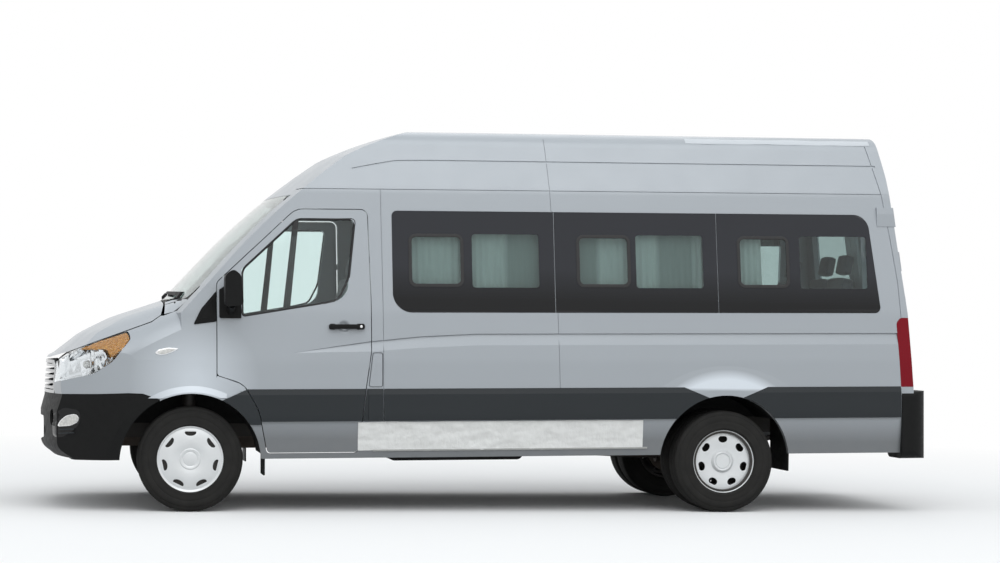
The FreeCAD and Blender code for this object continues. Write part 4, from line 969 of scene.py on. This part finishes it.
class MINIBUS_OT_seats(bpy.types.Operator):
    """Cloth seats of the cab and of the four passenger rows."""

    bl_idname = "minibus.seats"
    bl_label = "Seats"

    def execute(self, context):
        cab = [seat_piece(*row) for row in CAB_SEATS]
        rows = []
        for name, y, wide, places in ROW_SEATS:
            model = seat_piece(name + "_1", SEAT_ROWS[0], y, wide, places)
            rows.append(model)
            for number, x in enumerate(SEAT_ROWS[1:], 2):
                take(model)
                bpy.ops.object.duplicate()
                copy = opened(name + "_" + str(number))
                bpy.ops.transform.translate(value=(x - SEAT_ROWS[0], 0, 0))
                put_down()
                rows.append(copy)
        for seat in cab + rows:
            settled(seat)
            for vertex in seat.data.vertices:
                vertex.co = leaned(*vertex.co)
            finished(seat, "body", "Seat cloth", smooth=60)
        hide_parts("cab_seats")
        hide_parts("passenger_seats")
        return {"FINISHED"}


# Headlamp's amber corner, reflector rim and bulb, as x behind the front axle and height
AMBER_CORNER = (
    (-0.712, 1.081), (-0.579, 1.136), (-0.410, 1.190), (-0.392, 1.156), (-0.424, 1.097),
    (-0.515, 1.024), (-0.534, 1.085),
)
REFLECTOR_RIM = (
    (-0.840, 0.885), (-0.808, 0.936), (-0.719, 1.013), (-0.555, 1.075), (-0.530, 1.025),
    (-0.623, 0.960), (-0.757, 0.903),
)
BULB = (-0.66, 0.985)
BULB_RADIUS = 0.028
BULB_DEPTH = 0.040

# How far pieces reach round the nose from the side, the place that the lamps' outer faces
# point away from, and how squarely they do
LAMP_REACH = 0.9
LAMP_HEART = Vector((-1.9, 0, 0.75))
OUTER_FACES = 0.55


class MINIBUS_OT_headlamps(bpy.types.Operator):
    """Clear covers over chrome lamp boxes, with an amber corner and a bulb."""

    bl_idname = "minibus.headlamps"
    bl_label = "Headlamps"

    def execute(self, context):
        cover = self.part_of_lamps("headlamp_cover", outer=True)
        walled(cover, 0.003)
        finished(cover, "body", "Clear lens", smooth=30)
        box = self.part_of_lamps("headlamp_box", outer=False)
        finished(box, "body", "Lamp chrome", smooth=30)
        for name, corners, depth, thick, radius, band, slot, finish in (
            ("headlamp_amber", AMBER_CORNER, 0.010, 0.010, 0.012, 0.0, "lamp", "Amber lens"),
            ("headlamp_rim", REFLECTOR_RIM, 0.014, 0.008, 0.02, 0.012, "chrome", "Chrome"),
        ):
            fitted(name, corners, ("front_lamps",), -depth, slot, finish, radius=radius,
                   band=band, cuts=3, reach=LAMP_REACH, thick=thick)
        put_down()
        place = leaned(FRONT_AXLE + BULB[0], 0, BULB[1])
        place.y = skin_at(place.x, place.z, ("front_lamps",), LAMP_REACH) + BULB_DEPTH
        bpy.ops.mesh.primitive_uv_sphere_add(segments=24, ring_count=12, radius=BULB_RADIUS,
                                             location=place)
        finished(both(named("headlamp_bulb")), "body", "Pale lens")
        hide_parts("front_lamps")
        return {"FINISHED"}

    def part_of_lamps(self, name, outer):
        """Copy of the lamps' outward faces, or of their other faces turned inside out."""
        part = copied("front_lamps", name)

        def points_out(face):
            way = (face.calc_center_median() - LAMP_HEART).normalized()
            return way.dot(face.normal) > OUTER_FACES

        pick("FACE", lambda face: points_out(face) != outer)
        bpy.ops.mesh.delete(type="FACE")
        if not outer:
            bpy.ops.mesh.select_all(action="SELECT")
            bpy.ops.mesh.flip_normals()
        put_down()
        return part


# Fog lamp in the front bumper's corner, as x behind the front axle and height
FOG_RECESS = (
    (-0.880, 0.515), (-0.885, 0.655), (-0.808, 0.707), (-0.712, 0.690), (-0.700, 0.640),
    (-0.712, 0.600), (-0.750, 0.557), (-0.821, 0.512),
)
FOG_LENS = (
    (-0.853, 0.583), (-0.833, 0.622), (-0.795, 0.655), (-0.737, 0.667), (-0.712, 0.647),
    (-0.718, 0.615), (-0.769, 0.589),
)
FOG_SLATS = (0.562, 0.538)
BUMPER_REACH = 1.0

# Repeater lamp on each fender
SIDE_LAMP = (
    (-0.236, 1.060), (-0.212, 1.081), (-0.149, 1.094), (-0.078, 1.089), (-0.117, 1.066),
    (-0.174, 1.047), (-0.212, 1.047),
)


def fog_slat(z):
    """Outline of one bar below the fog lamp."""
    return (-0.862, z - 0.005), (-0.745, z + 0.003), (-0.745, z + 0.011), (-0.862, z + 0.004)


class MINIBUS_OT_small_lamps(bpy.types.Operator):
    """Fog lamps in the bumper and repeater lamps on the fenders."""

    bl_idname = "minibus.small_lamps"
    bl_label = "Small lamps"

    def execute(self, context):
        slats = [("fog_slat_" + str(number), fog_slat(z), 0.009, 0.002, "black_plastic",
                  "Dark trim") for number, z in enumerate(FOG_SLATS, 1)]
        for name, corners, proud, radius, slot, finish in (
            ("fog_recess", FOG_RECESS, 0.002, 0.02, "black_plastic", "Black glass print"),
            ("fog_reflector", FOG_LENS, 0.006, 0.015, "chrome", "Lamp chrome"),
            ("fog_cover", shrunk(FOG_LENS, 0.9), 0.010, 0.012, "lamp", "Pale lens"),
            *slats,
        ):
            fitted(name, corners, ("front_bumper",), proud, slot, finish, radius=radius,
                   cuts=3, reach=BUMPER_REACH)
        fitted("repeater_bezel", SIDE_LAMP, ("fenders",), 0.004, "chrome", "Chrome",
               radius=0.012, edge=0.0015)
        fitted("repeater_lens", shrunk(SIDE_LAMP, 0.76), ("fenders",), 0.008, "lamp",
               "Pale lens", radius=0.009, edge=0.002)
        return {"FINISHED"}


# Dark triangle in front of each front door, as x behind the front axle and height
TRIANGLE = ((0.013, 1.243), (0.063, 1.345), (0.162, 1.462), (0.163, 1.262))

# Outside handles, as x behind the front axle: start and end of the grip, centre of the dish
DOOR_HANDLE = (0.891, 1.126, 0.991)
SLIDING_HANDLE = (1.330, 1.565, 1.430)
HANDLE_HEIGHT = 1.230
HANDLE_HALF = 0.019
DISH_RADIUS = 0.050
GRIP_CORNER = 0.0145
LOCK_RADIUS = 0.009
HANDLE_PARTS = ("_dish", "_grip", "_lock")


class MINIBUS_OT_handles(bpy.types.Operator):
    """Door handles over round dishes, with their locks, and the triangles before the doors."""

    bl_idname = "minibus.handles"
    bl_label = "Handles"

    def execute(self, context):
        self.handle("door_handle_left", "front_door_left", "front_door_left", DOOR_HANDLE)
        for part in HANDLE_PARTS:
            twin(bpy.data.objects["door_handle_left" + part], "door_handle_right" + part,
                 "front_door_right")
        self.handle("sliding_handle", "body_side_left", "body", SLIDING_HANDLE)
        for part in HANDLE_PARTS:
            entered(bpy.data.objects["sliding_handle" + part])
            crossed()
        under = ("fenders", "cab_frame_left")
        fitted("fender_triangle", TRIANGLE, under, 0.005, "black_plastic",
               "Grained black plastic", radius=0.012, edge=0.0015, cuts=2)
        fitted("triangle_rib", shrunk(TRIANGLE, 0.6), under, 0.008, "black_plastic",
               "Grained black plastic", radius=0.008, band=0.006, edge=0.001)
        return {"FINISHED"}

    def handle(self, name, node, body, places):
        """Dish, grip on two feet and lock of one handle, on the left side."""
        start, end, centre = places
        dish = self.disc(name + "_dish", node, centre, DISH_RADIUS, 0.0008, 0.0)
        finished(dish, body, "Dished paint")
        low, high = HANDLE_HEIGHT - HANDLE_HALF, HANDLE_HEIGHT + HANDLE_HALF
        bar = rectangle(start + 0.004, end - 0.006, low + 0.004, high - 0.004)
        grip = joined([
            plate(name + part, corners, (node,), proud, radius=GRIP_CORNER, steps=5,
                  edge=0.004, thick=thick)
            for part, corners, proud, thick in (
                ("_foot_a", rectangle(start, start + 0.046, low, high), 0.020, 0.020),
                ("_foot_b", rectangle(end - 0.058, end, low, high), 0.020, 0.020),
                ("_bar", bar, 0.034, 0.016),
            )
        ])
        grip.name = name + "_grip"
        grip.data.name = grip.name
        finished(grip, body, "Grained black plastic")
        lock = self.disc(name + "_lock", node, end - 0.026, LOCK_RADIUS, 0.0365, 0.0015)
        finished(lock, body, "Chrome")

    def disc(self, name, node, x, radius, proud, edge):
        """Round plate on the skin."""
        put_down()
        bpy.ops.mesh.primitive_circle_add(
            vertices=48, radius=radius, fill_type="NGON", rotation=(math.pi / 2, 0, 0),
            location=leaned(FRONT_AXLE + x, OUTSIDE, HANDLE_HEIGHT))
        piece = named(name)
        pressed(piece, (node,), proud)
        walled(piece, min(proud, 0.006) + SUNK, edge)
        return piece


# Pieces that close the corners between panels, as x behind the front axle and height
FENDER_TIP = (
    (0.1660, 0.911), (0.2138, 0.8954), (0.2655, 0.8776), (0.3113, 0.860), (0.3410, 0.8386),
    (0.3577, 0.8133), (0.3326, 0.8067), (0.3027, 0.8141), (0.2630, 0.8367), (0.2034, 0.8705),
    (0.1617, 0.8921),
)
PILLAR_TIP = ((1.112, 0.612), (1.1495, 0.612), (1.1495, 0.823), (1.141, 0.823))
COWL_CORNER = (
    (-0.168, 1.3120), (-0.110, 1.326), (-0.064, 1.361), (-0.014, 1.4086), (-0.069, 1.409),
    (-0.109, 1.405), (-0.156, 1.3905),
)
COWL_REACH = 0.62

# Inner wing that closes each front arch towards the engine
WING_RADIUS = 0.460
WING_Y = 0.535
WING_LOW = 0.56


class MINIBUS_OT_corners(bpy.types.Operator):
    """Painted and dark corner pieces, and the inner wings of the front arches."""

    bl_idname = "minibus.corners"
    bl_label = "Corner pieces"

    def execute(self, context):
        fitted("fender_tip", FENDER_TIP, ("fenders", "front_door_left"), 0.0006, "paint",
               "Silver paint")
        fitted("pillar_trim_tip", PILLAR_TIP, ("cab_frame_left",), 0.0145, "black_plastic",
               "Dark trim", edge=0.001)
        fitted("cowl_corner", COWL_CORNER, ("cowl_panel",), 0.002, "paint", "Silver paint",
               cuts=3, reach=COWL_REACH, thick=0.003)
        put_down()
        bpy.ops.mesh.primitive_circle_add(
            vertices=64, radius=WING_RADIUS, fill_type="NGON", rotation=(math.pi / 2, 0, 0),
            location=(FRONT_AXLE, -WING_Y, HUB_HEIGHT))
        wing = opened("inner_wing")
        bpy.ops.mesh.bisect(plane_co=(FRONT_AXLE, 0, WING_LOW), plane_no=(0, 0, -1),
                            clear_outer=True)
        put_down()
        walled(wing, 0.003)
        finished(both(wing), "body", "Grained black plastic")
        return {"FINISHED"}


# Film on the left sill, film on the roof's rear edge and flange under both sills, as x
# behind the front axle and height: start, end, low, top
SILL_FILM = (1.082, 2.998, 0.420, 0.606)
ROOF_FILM = (3.353, 4.664, 2.478, 2.512)
SILL_FLANGE = (1.180, 3.030, 0.412, 0.424)
FILM_CELL = 0.010
FILM_LIFT = 0.0005
FILM_RAGGED = 0.004
ROOF_REACH = 0.9


class MINIBUS_OT_films(bpy.types.Operator):
    """Crinkled white film left on the sill and the roof, and the flange under the sill."""

    bl_idname = "minibus.films"
    bl_label = "Films"

    def execute(self, context):
        crinkle = look().crinkle
        sill = self.film("sill_film", SILL_FILM,
                         ("body_side_left", "cab_frame_left", "front_door_left"), SIDE_REACH,
                         crinkle)
        finished(sill, "body", "White wavy film", smooth=60)
        roof = self.film("roof_film", ROOF_FILM, ("roof_cap",), ROOF_REACH, crinkle * 0.5)
        finished(roof, "body", "Thin film", smooth=60)
        fitted("sill_flange", rectangle(*SILL_FLANGE), ("body_side_left",), 0.006, "paint",
               "Dusty flange", edge=0.0015)
        return {"FINISHED"}

    def film(self, name, place, nodes, reach, crinkle):
        """Sheet that stands off the skin in small waves, with uneven edges."""
        start, end, low, top = place
        wide, tall = end - start, top - low
        put_down()
        bpy.ops.mesh.primitive_grid_add(x_subdivisions=int(wide / FILM_CELL),
                                        y_subdivisions=max(4, int(tall / FILM_CELL)), size=1)
        sheet = named(name)
        for point in sheet.data.vertices:
            share, rise = point.co.x + 0.5, point.co.y + 0.5
            x, z = start + share * wide, low + rise * tall
            ripple = noise.noise(Vector((x * 7, z * 18, 1.0)))
            ripple += 0.5 * noise.noise(Vector((x * 21, z * 40, 4.0)))
            at_edge = 2 * rise - 1
            ragged = FILM_RAGGED * at_edge * noise.noise(Vector((x * 5, at_edge, 2.0)))
            point.co = leaned(FRONT_AXLE + x, OUTSIDE, z + ragged)
            point.co.y -= crinkle * (0.7 + ripple)
        lie = {point.index: point.co.y - OUTSIDE for point in sheet.data.vertices}
        pressed(sheet, nodes, FILM_LIFT, reach)
        for point in sheet.data.vertices:
            point.co.y += min(lie[point.index], 0.0)
        faced(sheet, -1.0)
        return sheet


# Half of the tyre's section, from the inner bead to the tread: radius, offset from the middle
TYRE_SECTION = (
    (0.2052, 0.0750), (0.2140, 0.0860), (0.2220, 0.0935), (0.2245, 0.0955), (0.2275, 0.0945),
    (0.2500, 0.0965), (0.2680, 0.0972), (0.2705, 0.0960), (0.2730, 0.0972), (0.2950, 0.0960),
    (0.3120, 0.0925), (0.3145, 0.0895), (0.3170, 0.0905), (0.3290, 0.0860), (0.3375, 0.0800),
    (0.3405, 0.0720), (0.3412, 0.0530), (0.3340, 0.0515), (0.3340, 0.0455), (0.3417, 0.0440),
    (0.3420, 0.0160), (0.3345, 0.0145), (0.3345, 0.0085), (0.3420, 0.0070),
)


class MINIBUS_OT_tyres(bpy.types.Operator):
    """Tyres with ribbed sidewalls and a grooved tread."""

    bl_idname = "minibus.tyres"
    bl_label = "Tyres"

    def execute(self, context):
        other_half = [(radius, -offset) for radius, offset in reversed(TYRE_SECTION)]
        section = [*TYRE_SECTION, *other_half, TYRE_SECTION[0]]
        for side, sign in SIDES:
            for name, x, y, body, node in (
                ("front_tyre_tread_", FRONT_AXLE, FRONT_WHEEL_Y, "wheel_front_", "front_tyre_"),
                ("rear_tyre_outer_", REAR_AXLE, REAR_OUTER_Y, "wheels_rear_", "rear_tyres_"),
                ("rear_tyre_inner_", REAR_AXLE, REAR_INNER_Y, "wheels_rear_", None),
            ):
                tyre = turned(name + side, section, Vector((x, sign * y, HUB_HEIGHT)))
                finished(tyre, body + side, "Tyre rubber", smooth=40)
                if node:
                    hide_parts(node + side)
        return {"FINISHED"}


# Front wheel cover and the rear wheel's face, which is set back inside the rim, from the
# centre to the rim: radius, distance outwards from the wheel's middle
FRONT_COVER = (
    (0.0, 0.0850), (0.040, 0.0850), (0.046, 0.0825), (0.052, 0.0860), (0.064, 0.0870),
    (0.070, 0.0820), (0.086, 0.0890), (0.120, 0.0900), (0.160, 0.0870), (0.190, 0.0790),
    (0.200, 0.0760), (0.206, 0.0800), (0.214, 0.0860), (0.221, 0.0880), (0.2235, 0.0850),
)
REAR_COVER = (
    (0.0, 0.060), (0.046, 0.060), (0.050, 0.056), (0.054, 0.062), (0.062, 0.064),
    (0.068, 0.058), (0.078, 0.046), (0.100, 0.050), (0.140, 0.056), (0.176, 0.056),
    (0.190, 0.052), (0.197, 0.060), (0.206, 0.078), (0.214, 0.084), (0.220, 0.084),
    (0.2225, 0.080),
)

# Covers: name, x, y, section, body, and their openings' radius from the centre, half width,
# half height and the share of that at which they are cut flat
COVERS = (
    ("front_cover", FRONT_AXLE, FRONT_WHEEL_Y, FRONT_COVER, "wheel_front_",
     (0.172, 0.037, 0.021, 0.35)),
    ("rear_cover", REAR_AXLE, REAR_OUTER_Y, REAR_COVER, "wheels_rear_",
     (0.150, 0.031, 0.024, 0.8)),
)
COVER_WALL = 0.004
COVER_EDGE = 0.0012
COVER_CORNER = math.radians(55)
CUTTER_DEPTH = 0.5


def cover_hole(centre, angle, radius, wide, high, flat):
    """Rounded cutter for one opening of a wheel cover, flat towards the rim."""
    put_down()
    at = centre + Vector((radius * math.cos(angle), 0, radius * math.sin(angle)))
    bpy.ops.mesh.primitive_cylinder_add(vertices=28, radius=1, depth=CUTTER_DEPTH, location=at,
                                        rotation=(math.pi / 2, 0, 0))
    cutter = named("hole")
    cutter.scale = (high, wide, 1)
    settled(cutter)
    entered(cutter)
    flat_x = at.x + high * flat
    pick("VERT", lambda corner: corner.co.x > flat_x)
    bpy.ops.transform.resize(value=(0, 1, 1), center_override=(flat_x, at.y, at.z))
    bpy.ops.mesh.select_all(action="SELECT")
    bpy.ops.transform.rotate(value=angle, orient_axis="Y", center_override=at)
    put_down()
    return cutter


class MINIBUS_OT_wheel_covers(bpy.types.Operator):
    """Silver covers with their openings and a plain round centre."""

    bl_idname = "minibus.wheel_covers"
    bl_label = "Wheel covers"

    def execute(self, context):
        count = look().cover_holes
        for name, x, y, rows, body, hole in COVERS:
            centre = Vector((x, -y, HUB_HEIGHT))
            cover = turned(name + "_left", [(radius, -out) for radius, out in rows], centre)
            faced(cover, -1.0)
            walled(cover, COVER_WALL)
            for number in range(count):
                angle = math.pi / 2 + 2 * math.pi * number / count
                carved(cover, cover_hole(centre, angle, *hole))
            modified(cover, "BEVEL", width=COVER_EDGE, segments=2, limit_method="ANGLE",
                     angle_limit=COVER_CORNER)
            finished(cover, body + "left", "Wheel silver", smooth=40)
            twin(cover, name + "_right", body + "right")
        return {"FINISHED"}


# Camera of the photograph, in the vehicle's own frame
CAMERA_PLACE = Vector((-2.8142, -16.255, 1.1708))
CAMERA_AHEAD = Vector((0.18074, 0.98353, 0.00252))
CAMERA_RIGHT = Vector((0.98343, -0.18076, 0.01373))
CAMERA_LENS = 84.42
CAMERA_SENSOR = 36.0
CAMERA_SHIFT = 0.0481
CAMERA_SIGHT = 200.0

# Lamps over the vehicle: name, place, power, size. They point at its middle.
LAMPS = (("Sky lamp", (0.5, -13, 15), 1000, 16), ("Back lamp", (0, 9, 14), 300, 12))
LAMP_AIM = Vector((0, 0, 1))

# Width of the floor, the distances over which it passes into white, and its darker colour
# for the light that it throws back
FLOOR_WIDTH = 120
FLOOR_FADE = (4.5, 11.0)
FLOOR_BOUNCE = (0.22, 0.21, 0.2, 1)

# Light from all round: its colour, the way to its bright part, and between which shares of
# that way its strength goes from one value to another
WORLD_COLOR = (0.95, 0.98, 1, 1)
BRIGHT_WAY = (0.0, -0.78, 0.62)
WORLD_RANGE = (-0.1, 1.0, 0.25, 1.6)


class MINIBUS_OT_stage(bpy.types.Operator):
    """Pale floor, level light and the camera of the photograph."""

    bl_idname = "minibus.stage"
    bl_label = "Stage"

    def execute(self, context):
        put_down()
        bpy.ops.mesh.primitive_plane_add(size=FLOOR_WIDTH, location=(0, 0, 0))
        floor = named("floor_plane")
        floor.data.materials.append(self.floor_material(look().floor))
        self.light_world(context.scene)
        for name, place, energy, size in LAMPS:
            put_down()
            bpy.ops.object.light_add(type="AREA", location=place)
            lamp = bpy.context.object
            lamp.name = name
            lamp.data.energy = energy
            lamp.data.size = size
            aim = LAMP_AIM - Vector(place)
            lamp.rotation_euler = aim.to_track_quat("-Z", "Y").to_euler()
        self.set_camera(context.scene)
        context.scene.view_settings.view_transform = "Standard"
        return {"FINISHED"}

    def floor_material(self, color):
        """Floor that is seen pale, passes into white, and throws back little light."""
        pale = Finish("Pale floor", color, 0.9)
        pale.patches(shaded(color, 0.97), 0.15, 0.8, 4)
        away = pale.range(pale.length(pale.place), *FLOOR_FADE)
        glow, dark = pale.node("Emission"), pale.node("BsdfDiffuse")
        dark.inputs["Color"].default_value = FLOOR_BOUNCE
        seen = pale.mixed(away, pale.shader.outputs[0], glow.outputs[0])
        bounced = pale.node("LightPath").outputs["Is Diffuse Ray"]
        output = pale.tree.nodes["Material Output"]
        pale.link(pale.mixed(bounced, seen, dark.outputs[0]), output.inputs["Surface"])
        return pale.material

    def light_world(self, scene):
        """White for whatever looks past the object, and softer light on it."""
        scene.world = scene.world or bpy.data.worlds.new("Studio")
        scene.world.use_nodes = True
        air = Nodes(scene.world.node_tree)
        air.tree.nodes.clear()
        output, path = air.node("OutputWorld"), air.node("LightPath")
        seen, soft = air.node("Background"), air.node("Background")
        seen.inputs["Color"].default_value = (1, 1, 1, 1)
        seen.inputs["Strength"].default_value = 1.0
        soft.inputs["Color"].default_value = WORLD_COLOR
        toward = air.node("VectorMath", operation="DOT_PRODUCT")
        toward.inputs[1].default_value = BRIGHT_WAY
        air.link(air.node("TexCoord").outputs["Generated"], toward.inputs[0])
        air.link(air.range(toward.outputs["Value"], *WORLD_RANGE), soft.inputs["Strength"])
        direct = air.reckoned("ADD", path.outputs["Is Camera Ray"],
                              path.outputs["Is Transmission Ray"], clamp=True)
        direct = air.reckoned("ADD", direct, path.outputs["Is Glossy Ray"], clamp=True)
        air.link(air.mixed(direct, soft.outputs[0], seen.outputs[0]), output.inputs["Surface"])

    def set_camera(self, scene):
        """The photograph's camera."""
        back = -CAMERA_AHEAD.normalized()
        right = CAMERA_RIGHT.normalized()
        up = back.cross(right).normalized()
        turn = Matrix((right, up, back)).transposed()
        bpy.ops.object.camera_add(location=CAMERA_PLACE, rotation=turn.to_euler())
        camera = bpy.context.object
        camera.name = "Photo camera"
        camera.data.lens = CAMERA_LENS
        camera.data.sensor_width = CAMERA_SENSOR
        camera.data.shift_y = CAMERA_SHIFT
        camera.data.clip_end = CAMERA_SIGHT
        scene.camera = camera


STEPS = (
    MINIBUS_OT_stage, MINIBUS_OT_finishes, MINIBUS_OT_side_windows, MINIBUS_OT_door_windows,
    MINIBUS_OT_curtains, MINIBUS_OT_seats, MINIBUS_OT_tyres, MINIBUS_OT_wheel_covers,
    MINIBUS_OT_headlamps, MINIBUS_OT_small_lamps, MINIBUS_OT_handles, MINIBUS_OT_corners,
    MINIBUS_OT_films,
)


class MINIBUS_PT_panel(bpy.types.Panel):
    """Steps of the minibus, in the sidebar."""

    bl_idname = "MINIBUS_PT_panel"
    bl_label = "Minibus"
    bl_space_type = "VIEW_3D"
    bl_region_type = "UI"
    bl_category = "Minibus"

    def draw(self, context):
        for name in MinibusLook.__annotations__:
            self.layout.prop(context.scene.minibus_look, name)
        for step in STEPS:
            self.layout.operator(step.bl_idname)


CLASSES = (MinibusLook, *STEPS, MINIBUS_PT_panel)


def register():
    for made in CLASSES:
        bpy.utils.register_class(made)
    bpy.types.Scene.minibus_look = PointerProperty(type=MinibusLook)


def unregister():
    del bpy.types.Scene.minibus_look
    for made in reversed(CLASSES):
        bpy.utils.unregister_class(made)


def main():
    """Register the add-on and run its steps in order."""
    register()
    for step in STEPS:
        group, name = step.bl_idname.split(".")
        getattr(getattr(bpy.ops, group), name)()


if __name__ == "__main__":
    main()
